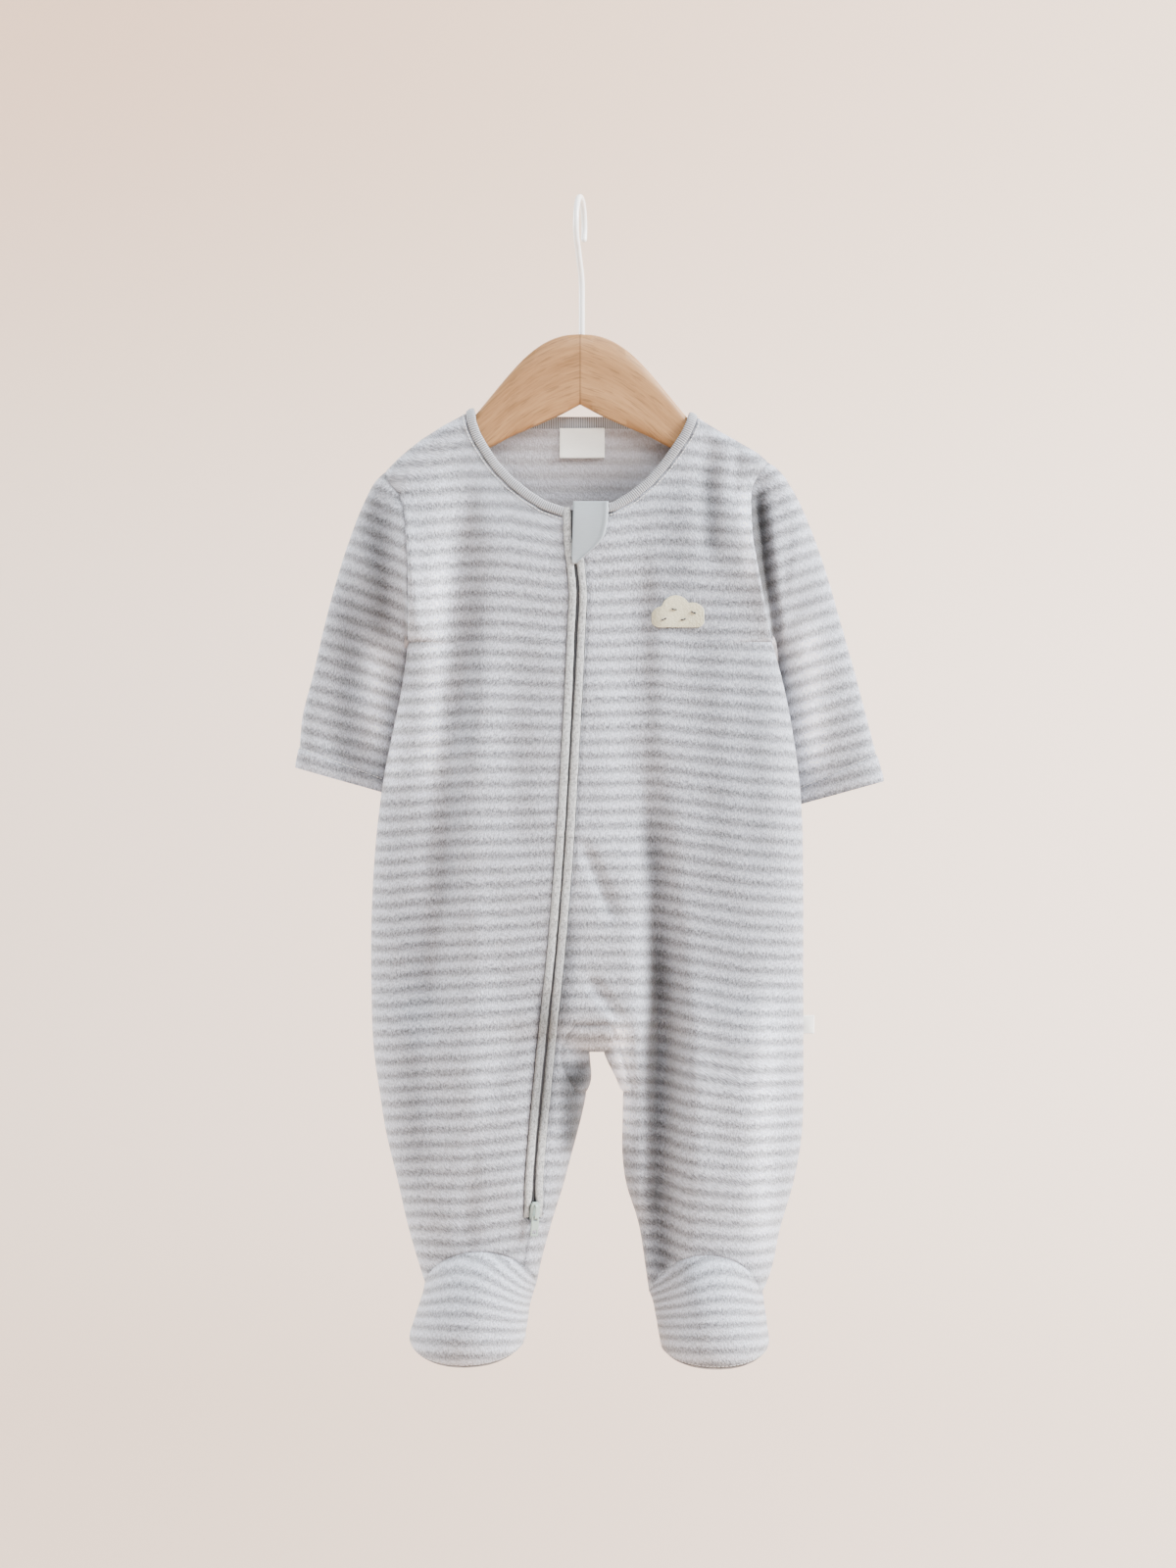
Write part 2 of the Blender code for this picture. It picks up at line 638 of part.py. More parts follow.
def add_body(skin):
    a, b, g, c = front_columns()
    left, middle, right = back_columns()
    heights = [z for z, _ in a[0].heights()]
    top = heights.index(GUSSET_TOP)
    ridge = heights.index(CROTCH)
    foot = heights.index(GUSSET_FOOT)

    def front_strip(i, j):
        return "gusset" if top <= i < foot and j >= len(b) - 3 else "front_right"

    def front_right(i, j):
        return "gusset" if top <= i < foot and j < 2 else "front_right"

    def front_middle(i, _):
        if i >= ridge:
            return None
        return "gusset" if i >= top else "front_right"

    def back_left(i, j):
        return "gusset" if top <= i < foot and j >= len(left) - 3 else "back"

    def back_right(i, j):
        return "gusset" if top <= i < foot and j < 2 else "back"

    def back_middle(i, _):
        if i >= ridge:
            return None
        return "gusset" if i >= top else "back"

    skin.add(patch_points("front", a), "front_left")
    skin.add(patch_points("front", b), front_strip)
    skin.add(patch_points("front", g), front_middle)
    skin.add(patch_points("front", c), front_right)
    skin.add(patch_points("back", left), back_left, flip=True)
    skin.add(patch_points("back", middle), back_middle, flip=True)
    skin.add(patch_points("back", right), back_right, flip=True)
    edges = {}
    for leg, fronts, backs in (("left", [a, b], [left]), ("right", [c], [right])):
        front = np.concatenate([patch_points("front", zone)[-1] for zone in fronts])
        back = np.concatenate([patch_points("back", zone)[-1] for zone in backs])
        edges[leg] = (without_repeats(front), without_repeats(back)[::-1][1:-1])
    return edges


def without_repeats(points):
    keep = [0] + [
        k for k in range(1, len(points)) if np.abs(points[k] - points[k - 1]).max() > 1e-4
    ]
    return points[keep]


def armhole(side, name):
    """The body's edge down one side of an armhole, from the shoulder tip."""
    path = SHOULDER_LEFT if name == "left" else SHOULDER_RIGHT
    top = path[0][1]
    sign = -1 if side == "front" else 1
    points = []
    for f in UPPER_ROWS:
        z = top + (UNDERARM - top) * f
        x = path[0][0] if f == 0 else BODY.at(name, z)
        points.append((x, sign * depth_at(side, x, z), z))
    return np.array(points)


def sleeve_rings(name):
    """Rings from the armhole to the hem, each a flattened loop across the sleeve."""
    table = SLEEVE_LEFT if name == "left" else SLEEVE_RIGHT
    front, back = armhole("front", name), armhole("back", name)
    hole = np.concatenate([front, back[::-1][1:-1]])
    turn = np.pi * np.array(UPPER_ROWS) ** 0.5
    angles = np.concatenate([turn, (2 * np.pi - turn)[::-1][1:-1]])
    first = None
    rings = []
    for s in SLEEVE_STATIONS:
        at = {c: table.at(c, s) for c in table.columns}
        outer = np.array([at["outer_x"], at["outer_y"], at["outer_z"]])
        inner = np.array([at["inner_x"], at["inner_y"], at["inner_z"]])
        centre, arm = (outer + inner) / 2, (outer - inner) / 2
        raised = HEM_RAISE if s > HEM_START else 0.0
        flat = np.sign(np.sin(angles)) * np.abs(np.sin(angles))
        grow = 1 + raised / np.linalg.norm(arm)
        through = np.array([0.0, -1.0, 0.0])
        ring = (
            centre
            + np.outer(np.cos(angles) * grow, arm)
            + np.outer(flat * (at["depth"] + raised), through)
        )
        if first is None:
            first = hole - ring
        ring = ring + first * (1 - smooth(s / 0.22))
        rings.append(ring)
    return np.array(rings)


def foot_rings(leg, front, back):
    """Rings from the ankle seam down to the sole's seam; front points come first."""
    foot = FEET[leg]
    heel, toe = np.array(foot["heel"]), np.array(foot["toe"])
    length = toe - heel
    out = np.array([0.0, length[2], -length[1]])
    up = out / np.linalg.norm(out) * np.sign(out[2])
    ankle = np.concatenate([front, back])
    turns = np.concatenate([
        -np.pi / 2 + np.pi * spaced(front),
        np.pi / 2 + np.pi * spaced(np.concatenate([front[-1:], back, front[:1]]))[1:-1],
    ])
    half = np.where(
        np.cos(turns) > 0,
        foot["half_toe"],
        foot["half_toe"] + (foot["half_heel"] - foot["half_toe"]) * np.abs(np.cos(turns)),
    )
    middle = heel + length * 0.5
    reach = np.sign(np.cos(turns)) * np.abs(np.cos(turns)) ** 0.92
    sole = (
        middle
        + np.outer(reach, length / 2)
        + np.outer(half * np.sign(np.sin(turns)) * np.abs(np.sin(turns)) ** 0.86, (1, 0, 0))
    )
    outward = sole - middle
    outward /= np.linalg.norm(outward, axis=1)[:, None]
    forward = np.clip(np.cos(turns), 0, 1)[:, None]
    leave = np.array([0.0, 0.0, -1.0]) + forward * np.array([0.0, -0.75, 0.45])
    span = np.linalg.norm(sole - ankle, axis=1)[:, None]
    second = ankle + leave * span * (0.30 + 0.15 * forward)
    third = sole + up * (7.0 + 9.0 * forward) + outward * (3.0 + 2.5 * forward)
    rings = []
    for t in [0, 0.1, 0.22, 0.36, 0.5, 0.64, 0.78, 0.9, 1.0]:
        rings.append(
            (1 - t) ** 3 * ankle
            + 3 * (1 - t) ** 2 * t * second
            + 3 * (1 - t) * t * t * third
            + t**3 * sole
        )
    return np.array(rings), middle, -up, len(front)


def spaced(points):
    """Shares of the length along a row of points, from 0 to 1."""
    steps = np.linalg.norm(np.diff(points, axis=0), axis=1)
    reach = np.concatenate([[0], np.cumsum(steps)])
    return reach / reach[-1]


def add_feet(skin, edges):
    for leg, (front, back) in edges.items():
        rings, middle, below, split = foot_rings(leg, front, back)
        upper, heel = f"foot_upper_{leg}", f"heel_{leg}"
        skin.add(rings, lambda i, j: upper if j < split - 1 else heel, closed=True)
        rim = rings[-1]
        sole = [rim]
        for share, drop in [(0.9, 1.8), (0.62, 3.4), (0.3, 4.2), (0.0, 4.4)]:
            sole.append(middle + (rim - middle) * share + below * drop)
        skin.add(np.array(sole), f"sole_{leg}", closed=True)


# ---------------------------------------------------------------- pieces on the skin


def strip(stations, section, place):
    """A closed bar: the section's points carried along the stations, with flat ends."""
    rings = [[place(s, *p) for p in section] for s in stations]
    count = len(section)
    verts = [p for ring in rings for p in ring]
    faces = []
    for i in range(len(rings) - 1):
        for j in range(count):
            k = (j + 1) % count
            faces.append([i * count + j, i * count + k, (i + 1) * count + k,
                          (i + 1) * count + j])
    faces.append(list(range(count))[::-1])
    faces.append([(len(rings) - 1) * count + j for j in range(count)])
    return verts, faces


def zip_heights():
    """Heights down the zip, at which its tape and its welts all bend."""
    return list(np.linspace(ZIP_TOP, ZIP_END + 6, 34))


def welt(side):
    """One fleece piping beside the zip, a rounded bead that stands just proud."""
    sign = -1 if side == "left" else 1
    bead = [(-2.5, -1.6), (2.5, -1.6), (2.5, 0.1), (1.7, 0.8), (0.0, 1.1), (-1.7, 0.8),
            (-2.5, 0.1)]
    heights = zip_heights() + [ZIP_END + 3, ZIP_END + 1, ZIP_END]

    def place(z, u, lift):
        short = 1 - 0.55 * smooth((ZIP_END + 4 - z) / 4.0)
        x = ZIP.at("across", z) + sign * 3.15 + u * short
        return on_body("front", x, z, lift * short)

    return strip(heights, bead, place)


def zip_tape():
    """The woven tape behind the welts, which carries the closed coil."""
    flat = [(-5.7, -3.0), (5.7, -3.0), (5.7, -2.2), (0.35, -2.2), (0.35, -0.5),
            (-0.35, -0.5), (-0.35, -2.2), (-5.7, -2.2)]
    heights = zip_heights()[1:] + [ZIP_END, ZIP_CLOSED + 1.0]

    def place(z, u, lift):
        return on_body("front", ZIP.at("across", z) + u, z, lift)

    return strip(heights, flat, place)


def slab(top, under):
    """A closed plate between two equal grids of points."""
    rows, columns = len(top), len(top[0])
    verts = [p for row in top for p in row] + [p for row in under for p in row]
    count = rows * columns

    def at(i, j):
        return i * columns + j

    faces = []
    for i in range(rows - 1):
        for j in range(columns - 1):
            faces.append([at(i, j), at(i + 1, j), at(i + 1, j + 1), at(i, j + 1)])
    faces += [[k + count for k in reversed(f)] for f in faces]
    rim = [at(i, 0) for i in range(rows)] + [at(rows - 1, j) for j in range(1, columns)]
    rim += [at(i, columns - 1) for i in range(rows - 2, -1, -1)]
    rim += [at(0, j) for j in range(columns - 2, 0, -1)]
    for a, b in zip(rim, rim[1:] + rim[:1]):
        faces.append([b, a, a + count, b + count])
    return verts, faces


def body_slab(side, grid, lift, thick):
    """A plate of that thickness that follows the body, over a grid of (x, z)."""
    top = [[on_body(side, x, z, lift + thick) for x, z in row] for row in grid]
    under = [[on_body(side, x, z, lift) for x, z in row] for row in grid]
    return slab(top, under)


def garage():
    grid = []
    for z in GARAGE_ROWS:
        left, right = GARAGE.at("left", z), GARAGE.at("right", z)
        grid.append([(x, z) for x in np.linspace(left, right, 6)])
    return body_slab("front", grid, GARAGE_LIFT, GARAGE_THICK)


def neck_label():
    """The bare label that hangs inside the back, below the neck binding."""
    across_it = np.linspace(NECK_LABEL["left"], NECK_LABEL["right"], 6)
    heights = np.linspace(NECK_LABEL["top"], NECK_LABEL["foot"], 5)
    return body_slab("back", [[(x, z) for x in across_it] for z in heights], -2.6, 0.6)


def side_tag():
    near, far = SIDE_TAG["near"] * MM, SIDE_TAG["far"] * MM
    half = SIDE_TAG["half_thick"] * MM
    ends = (SIDE_TAG["top"] * MM, SIDE_TAG["foot"] * MM)
    top = [[Vector((x, -half, z)) for x in (near, far)] for z in ends]
    under = [[Vector((x, half, z)) for x in (near, far)] for z in ends]
    return slab(top, under)


def chest_patch():
    """A cloud: its top is the highest of its lobes over each column of points."""
    x0, z0 = PATCH_MIDDLE
    first = PATCH_LOBES[0][0] - PATCH_LOBES[0][2]
    last = PATCH_LOBES[-1][0] + PATCH_LOBES[-1][2]
    grid = []
    for x in np.linspace(first + 0.5, last - 0.5, 17):
        rise = [cz + math.sqrt(r * r - (x - cx) ** 2) for cx, cz, r in PATCH_LOBES
                if abs(x - cx) < r]
        high = max(rise)
        end = min(x - first, last - x)
        low = PATCH_BASE + 5.0 * (1 - math.sqrt(1 - (1 - min(end / 5.0, 1.0)) ** 2))
        low = min(low, high - 1.0)
        grid.append([(x0 + x, z0 + z) for z in np.linspace(high, low, 4)])
    return body_slab("front", grid, PATCH_LIFT, PATCH_THICK)


def seam_point(side, x, z):
    """A point of the neck seam and the cloth's outward direction there."""
    sides = ["front", "back"] if side == "both" else [side]
    normal = Vector()
    for s in sides:
        normal += on_body(s, x, z, 1.0) - on_body(s, x, z, 0.0)
    deep = 0.0 if side == "both" else depth_at(side, x, z)
    return Vector((x, -deep if side == "front" else deep, z)) * MM, normal.normalized()


def between(first, last):
    """Two stations between two others of the seam, standing a little proud of them."""
    stations = []
    for t in (1 / 3, 2 / 3):
        normal = first[1].lerp(last[1], t).normalized()
        stations.append((first[0].lerp(last[0], t) + normal * BINDING_ROLL * MM, normal))
    return stations


def seam_half(front, back, front_walks, back_walks):
    """The neck seam from the zip over one neck point to the middle of the back."""
    line = [seam_point("front", *along_path(front, w)) for w in front_walks]
    tip = seam_point("both", *front[0])
    behind = [seam_point("back", *along_path(back, w)) for w in back_walks]
    line += between(line[-1], tip) + [tip] + between(tip, behind[0])
    return line + behind


def neck_binding():
    """A ribbed band along the neck seam, folded over at its free edge."""
    section = [(BINDING_GAP, BINDING_SINK), (BINDING_GAP, 0.45), (1.2, BINDING_LIFT),
               (4.8, BINDING_LIFT), (5.7, 0.2), (BINDING_WIDTH, -0.5), (5.7, -1.2),
               (4.8, BINDING_SINK)]
    left = seam_half(NECK_FRONT_LEFT, NECK_BACK_LEFT, NECK_WALKS["front_left"],
                     NECK_WALKS["back_left"])
    right = seam_half(NECK_FRONT_RIGHT, NECK_BACK_RIGHT, NECK_WALKS["front_right"],
                      NECK_WALKS["back_right"])
    stations = left + right[::-1]
    places = []
    for k, (point, normal) in enumerate(stations):
        if k in (0, len(stations) - 1):
            out = Vector((-1, 0, 0)).cross(normal).normalized()
        else:
            out = (stations[k + 1][0] - stations[k - 1][0]).cross(normal).normalized()
        if out.z < 0:
            out = -out
        places.append((point, out, normal))

    def place(station, across_it, lift):
        point, out, normal = station
        return point + out * across_it * MM + normal * lift * MM

    return strip(places, section, place)


# ---------------------------------------------------------------- the lower slider


def slider_frame():
    """Where the slider sits: its middle, and its directions across, along and out."""
    z = SLIDER_HEIGHT
    middle = on_body("front", ZIP.at("across", z), z)
    over = Vector((math.cos(SLIDER_TURN), math.sin(SLIDER_TURN), 0))
    above = on_body("front", ZIP.at("across", z + 5), z + 5)
    along = above - middle
    along = (along - over * along.dot(over)).normalized()
    return middle, over, along, over.cross(along)


def prism(outline, low, high, place):
    """A closed bar with that outline, from one height to another."""
    verts = [place(a, b, low) for a, b in outline] + [place(a, b, high) for a, b in outline]
    count = len(outline)
    faces = [list(range(count))[::-1], list(range(count, 2 * count))]
    faces += [[k, (k + 1) % count, (k + 1) % count + count, k + count] for k in range(count)]
    return verts, faces


def make_slider():
    middle, over, along, out = slider_frame()

    def flat(u, v, h):
        return middle + (over * u + along * v + out * h) * MM

    def upright(v, h, u):
        return flat(u, v, h)

    low, high = SLIDER_LIFT, SLIDER_LIFT + SLIDER_THICK
    body = make_object("zip_slider", *prism(SLIDER_BODY, low, high, flat), "enamel", True)
    bridge = make_object("slider_bridge", *prism(BRIDGE, -BRIDGE_HALF, BRIDGE_HALF, upright),
                         "enamel", True)
    bridge.hide_render = True
    bridge.display_type = "WIRE"
    join = body.modifiers.new("bridge", "BOOLEAN")
    join.operation = "UNION"
    join.object = bridge
    join.solver = "EXACT"


def make_pull():
    """The pull tab: a plate with an eye for the slider's bridge and a square hole."""
    middle, over, along, out = slider_frame()
    axis = middle + (along * PULL_AXIS_ALONG + out * PULL_AXIS_LIFT) * MM
    shape = bmesh.new()
    grid = [[shape.verts.new((over * u + along * v + out * PULL_HALF_THICK) * MM)
             for u in PULL_ACROSS] for v in PULL_DOWN]
    for i in range(len(PULL_DOWN) - 1):
        for j in range(len(PULL_ACROSS) - 1):
            if (i, j) not in PULL_HOLES:
                shape.faces.new([grid[i][j], grid[i + 1][j], grid[i + 1][j + 1],
                                 grid[i][j + 1]])
    raised = bmesh.ops.extrude_face_region(shape, geom=shape.faces[:], use_keep_orig=True)
    moved = [v for v in raised["geom"] if isinstance(v, bmesh.types.BMVert)]
    bmesh.ops.translate(shape, verts=moved, vec=-out * 2 * PULL_HALF_THICK * MM)
    bmesh.ops.recalc_face_normals(shape, faces=shape.faces)
    mesh = bpy.data.meshes.new("zip_pull")
    shape.to_mesh(mesh)
    shape.free()
    mesh.materials.append(bpy.data.materials.get("enamel") or make_material("enamel"))
    pull = bpy.data.objects.new("zip_pull", mesh)
    pull.location = axis
    bpy.context.scene.collection.objects.link(pull)


# ---------------------------------------------------------------- objects


def make_material(name):
    material = bpy.data.materials.new(name)
    material.use_nodes = True
    shader = material.node_tree.nodes["Principled BSDF"]
    shader.inputs["Base Color"].default_value = (*COLOURS[name], 1.0)
    shader.inputs["Roughness"].default_value = ROUGHNESS.get(name, 0.9)
    shader.inputs["Metallic"].default_value = 0.0
    material.diffuse_color = (*COLOURS[name], 1.0)
    return material


def make_object(name, verts, faces, material, fix_normals=False):
    mesh = bpy.data.meshes.new(name)
    mesh.from_pydata([tuple(v) for v in verts], [], faces)
    if fix_normals:
        shape = bmesh.new()
        shape.from_mesh(mesh)
        bmesh.ops.recalc_face_normals(shape, faces=shape.faces)
        shape.to_mesh(mesh)
        shape.free()
    mesh.materials.append(bpy.data.materials.get(material) or make_material(material))
    mesh.shade_smooth()
    mesh.set_sharp_from_angle(angle=math.radians(50))
    piece = bpy.data.objects.new(name, mesh)
    bpy.context.scene.collection.objects.link(piece)
    return piece


def make_garment():
    skin = Skin()
    edges = add_body(skin)
    for name in ("left", "right"):
        skin.add(sleeve_rings(name), f"sleeve_{name}", flip=name == "right", closed=True)
    add_feet(skin, edges)
    skin.weld()
    for name in skin.names:
        make_object(name, *skin.cut(name), "fleece")
    skin.mesh.free()


def make_zip():
    for side in ("left", "right"):
        make_object(f"welt_{side}", *welt(side), "welt", fix_normals=True)
    make_object("zip_tape", *zip_tape(), "tape", fix_normals=True)
    make_slider()
    make_pull()


def make_trims():
    make_object("neck_binding", *neck_binding(), "binding", fix_normals=True)
    make_object("zip_garage", *garage(), "ribbon", fix_normals=True)
    make_object("neck_label", *neck_label(), "label", fix_normals=True)
    make_object("side_tag", *side_tag(), "label", fix_normals=True)
    make_object("chest_patch", *chest_patch(), "patch", fix_normals=True)


def hanger_outline():
    """The wooden hanger's outline, anticlockwise seen from the front."""
    top = [(s, HANGER.at("top", s)) for s in HANGER_STATIONS]
    low = [(s, HANGER.at("underside", s)) for s in HANGER_STATIONS]
    right = low + [HANGER_END] + top[::-1]
    left = [(-x, z) for x, z in right[::-1]]
    return right[:-1] + left[:-1]


def make_hanger():
    outline = hanger_outline()
    half = HANGER_THICK / 2 * MM
    shape = bmesh.new()
    front = [shape.verts.new((x * MM, -half, z * MM)) for x, z in outline]
    face = shape.faces.new(front)
    raised = bmesh.ops.extrude_face_region(shape, geom=[face])
    moved = [v for v in raised["geom"] if isinstance(v, bmesh.types.BMVert)]
    bmesh.ops.translate(shape, verts=moved, vec=(0, 2 * half, 0))
    bmesh.ops.recalc_face_normals(shape, faces=shape.faces)
    rims = [e for e in shape.edges
            if abs(e.verts[0].co.y - e.verts[1].co.y) < 1e-6]
    bmesh.ops.bevel(shape, geom=rims, offset=HANGER_ROUND * MM, segments=2, profile=0.5,
                    affect="EDGES", clamp_overlap=True)
    mesh = bpy.data.meshes.new("hanger_wood")
    shape.to_mesh(mesh)
    shape.free()
    mesh.materials.append(make_material("wood"))
    mesh.shade_smooth()
    mesh.set_sharp_from_angle(angle=math.radians(40))
    wood = bpy.data.objects.new("hanger_wood", mesh)
    bpy.context.scene.collection.objects.link(wood)
    drill(wood)


def drill(wood):
    """Cuts the hole that the hook's stem is set in."""
    sides, radius = 12, (WIRE_RADIUS + SEAM_GAP) * MM
    top, foot = (HANGER.at("top", 0) + 5) * MM, (HANGER.at("top", 0) - STEM_DEPTH) * MM
    turns = [2 * math.pi * k / sides for k in range(sides)]
    ring = [(radius * math.cos(a) + HOOK_SHIFT * MM, radius * math.sin(a)) for a in turns]
    verts = [(x, y, foot) for x, y in ring] + [(x, y, top) for x, y in ring]
    faces = [[k, (k + 1) % sides, (k + 1) % sides + sides, k + sides] for k in range(sides)]
    faces += [list(range(sides))[::-1], list(range(sides, 2 * sides))]
    cutter = make_object("stem_hole", verts, faces, "wood")
    cutter.hide_render = True
    cutter.display_type = "WIRE"
    cut = wood.modifiers.new("stem hole", "BOOLEAN")
    cut.object = cutter
    cut.operation = "DIFFERENCE"
    cut.solver = "EXACT"


def hook_path():
    """From the free end behind the rail, over its top, down its front to the stem."""
    points = []
    for k in range(19):
        angle = math.radians(-25 + k * (235 + 25) / 18)
        points.append((HOOK_RADIUS * math.cos(angle),
                       HOOK_RADIUS * (math.sin(angle) - 1)))
    for back, z in [(-7.0, -38.5), (-3.2, -44.0), (-0.8, -50.0), (0.0, -57.0), (0.0, -70.0),
                    (0.0, HANGER.at("top", 0) - STEM_DEPTH + 1.0)]:
        points.append((back, z))
    line = []
    for back, z in points:
        lean = HOOK_SHIFT * smooth((-25.0 - z) / 30.0)
        line.append((back * math.sin(HOOK_TURN) + lean, back * math.cos(HOOK_TURN), z))
    return line


def make_hook():
    curve = bpy.data.curves.new("hanger_hook", "CURVE")
    curve.dimensions = "3D"
    path = hook_path()
    spline = curve.splines.new("POLY")
    spline.points.add(len(path) - 1)
    for point, (x, y, z) in zip(spline.points, path):
        point.co = (x * MM, y * MM, (z + WIRE_RADIUS) * MM, 1.0)
    curve.bevel_depth = WIRE_RADIUS * MM
    curve.bevel_resolution = 2
    curve.use_fill_caps = True
    curve.materials.append(make_material("wire"))
    hook = bpy.data.objects.new("hanger_hook", curve)
    bpy.context.scene.collection.objects.link(hook)


def clear_scene():
    for thing in list(bpy.data.objects):
        bpy.data.objects.remove(thing, do_unlink=True)


def main():
    clear_scene()
    make_garment()
    make_zip()
    make_trims()
    make_hanger()
    make_hook()


main()
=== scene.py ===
"""Builds the look of a footed baby sleepsuit of striped fleece on a wooden hanger.

The cloth is one surface that follows the body, the sleeves, the legs and the feet.
It is worked out on fine grids, welded, and then cut along its seams into panels.
Every panel is a wall with an outer face, an inner face and turned edges.
Tables are in millimetres below and beside the hook's crest, and meshes in metres.
"""

import math

import bmesh
import bpy
import numpy as np
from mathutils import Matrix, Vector


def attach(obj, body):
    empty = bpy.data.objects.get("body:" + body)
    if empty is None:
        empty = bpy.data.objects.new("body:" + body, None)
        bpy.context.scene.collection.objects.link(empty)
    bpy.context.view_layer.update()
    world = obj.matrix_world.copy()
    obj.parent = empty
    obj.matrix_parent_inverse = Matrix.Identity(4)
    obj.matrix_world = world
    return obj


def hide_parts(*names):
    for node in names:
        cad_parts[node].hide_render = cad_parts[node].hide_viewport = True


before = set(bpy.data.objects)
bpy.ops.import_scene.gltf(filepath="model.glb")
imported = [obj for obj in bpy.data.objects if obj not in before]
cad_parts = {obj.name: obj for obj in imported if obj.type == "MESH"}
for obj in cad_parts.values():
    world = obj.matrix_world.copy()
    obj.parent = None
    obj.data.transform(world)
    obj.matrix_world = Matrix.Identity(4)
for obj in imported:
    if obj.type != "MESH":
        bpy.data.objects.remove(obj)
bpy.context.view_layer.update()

bl_info = {
    "name": "Striped sleepsuit on a hanger",
    "version": (1, 0, 0),
    "blender": (4, 5, 0),
    "location": "View3D > Sidebar > Sleepsuit",
    "description": "Builds a footed fleece sleepsuit with its zip, trims and wooden hanger",
    "category": "Add Mesh",
}

MM = 0.001
SIGN = {"front": -1.0, "back": 1.0}
CLOTH_BODY = "sleepsuit"
PULL_BODY = "pull_tab"

# ------------ the garment's tables

FLEECE = 1.5
SEAM_GAP = 0.04
UNDERARM = -270.6
CROTCH = -520.8
INNER_TIP = -546.0
GUSSET_TOP = -504.6
ZIP_TOP = -189.0
ZIP_END = -621.5
ZIP_CLOSED = -623.6
WELT_HALF = 5.9
SHOULDER_ROLL = 7.0
GRID_STEP = 2.4
# The ankle seams' height, and the height that the soles' seams lie under
ANKLE = -656.0
SOLE_SEAM = -676.0
# Half the depth that the hanger holds open, and half the armhole's width at its widest
HELD_OPEN = 8.2
ARMHOLE_HALF = 17.0
TAPE_HALF = 5.6
# The heights over which the torso closes and the legs begin, above the crotch
TORSO_CLOSES = 26.0
LEGS_BEGIN = 90.0
NECK_BACK = -138.2
# The two faces of the tape and of the label, measured out from the cloth's outer face
TAPE_FACES = (-2.2, -2.95)
LABEL_FACES = (-2.65, -3.15)
# Rows of stitches: their pitch, and a stitch's length and radius
STITCHES = {"hem": (2.6, 2.1, 0.28), "sole": (2.4, 1.7, 0.2), "neck": (2.3, 1.95, 0.34),
            "patch": (1.25, 1.2, 0.34)}
# The stage in metres: the floor's height, the wall's distance behind the hook, the bend
# between them, and the middle and the height of what the camera sees
FLOOR = -1.25
WALL = 1.35
WALL_BEND = 0.4
VIEW_MIDDLE = (0.0048, -0.3576)
VIEW_HEIGHT = 0.96
SENSOR = 36.0


class Table:
    """Rows of named columns; at() reads a column smoothly over the first one."""

    def __init__(self, columns, rows):
        self.columns = columns.split()
        self.values = np.array(sorted(rows), float)

    def at(self, column, where):
        """A cubic through the rows, whose slope at each row is that of its neighbours."""
        x = self.values[:, 0]
        y = self.values[:, self.columns.index(column)]
        slope = np.gradient(y, x)
        k = np.clip(np.searchsorted(x, where) - 1, 0, len(x) - 2)
        step = x[k + 1] - x[k]
        t = np.clip((where - x[k]) / step, 0, 1)
        rise = (y[k + 1] - y[k]) * t * t * (3 - 2 * t)
        bend = step * t * (1 - t) * (slope[k] * (1 - t) - slope[k + 1] * t)
        return y[k] + rise + bend

# The body seen from the front: its two edges, which are the armholes above the underarm,
# and half its depth at the middle beyond what the hanger holds open.
BODY = Table("height left right fullness", [
    (-131, -119.4, 115.2, 0.5), (-160, -119.4, 115.2, 2.5), (-167, -119.4, 110.5, 3.3),
    (-174, -116.5, 106.5, 4.5), (-181, -111, 105, 6), (-190, -108.2, 105, 7.8),
    (-206, -106.8, 105.8, 10.8), (-222, -105.8, 108.4, 14), (-240, -105.6, 111.8, 17.5),
    (-256, -105.6, 114.8, 20), (-270.6, -106, 118, 21.8), (-286, -107.6, 122, 23),
    (-300, -109.8, 125.4, 24), (-330, -115.8, 131, 26), (-350, -119.8, 133.8, 27),
    (-380, -124, 136.2, 28.5), (-420, -127.2, 136.8, 29.5), (-480, -128, 136.8, 30),
    (-522, -126.2, 136.8, 30.5), (-546, -122.8, 136.8, 30.5), (-570, -119, 136, 30),
    (-600, -111.8, 131, 28.5), (-630, -104.9, 122.4, 25), (-657, -96.9, 116.4, 21.5),
    (-675, -91, 109, 20)])

# Lines that run down the front and back near the middle: the gusset's left seam, the
# left leg's inner line, the right leg's inner line and the gusset's right seam.
MIDDLE = Table("height seam_left inner_left inner_right seam_right", [
    (-130, 10.5, 13.5, 20, 27), (-195, 10.5, 13.5, 20, 27), (-300, 6.5, 10.5, 18, 28),
    (-420, 0, 6.5, 16, 30), (-480, -3, 5, 15.2, 26), (-504.6, -3, 4.8, 15, 19.5),
    (-511, -7, 4.8, 15, 21.5), (-516, -9.5, 4.8, 15, 23), (-520.8, -11, 4.8, 15.2, 24.5),
    (-528, -10.4, 5.4, 18, 26.8), (-536, -7.5, 6, 22.2, 29.5), (-546, -2.6, 4.2, 25.6, 31.5),
    (-560, -7.5, 1.2, 25.8, 34), (-586, -14, -5.6, 25.8, 35), (-600, -16.8, -9.3, 27.6, 37),
    (-625, -23.5, -17, 35.2, 44.5), (-657, -30.5, -25.3, 40.4, 50), (-675, -33, -28, 43, 53)])

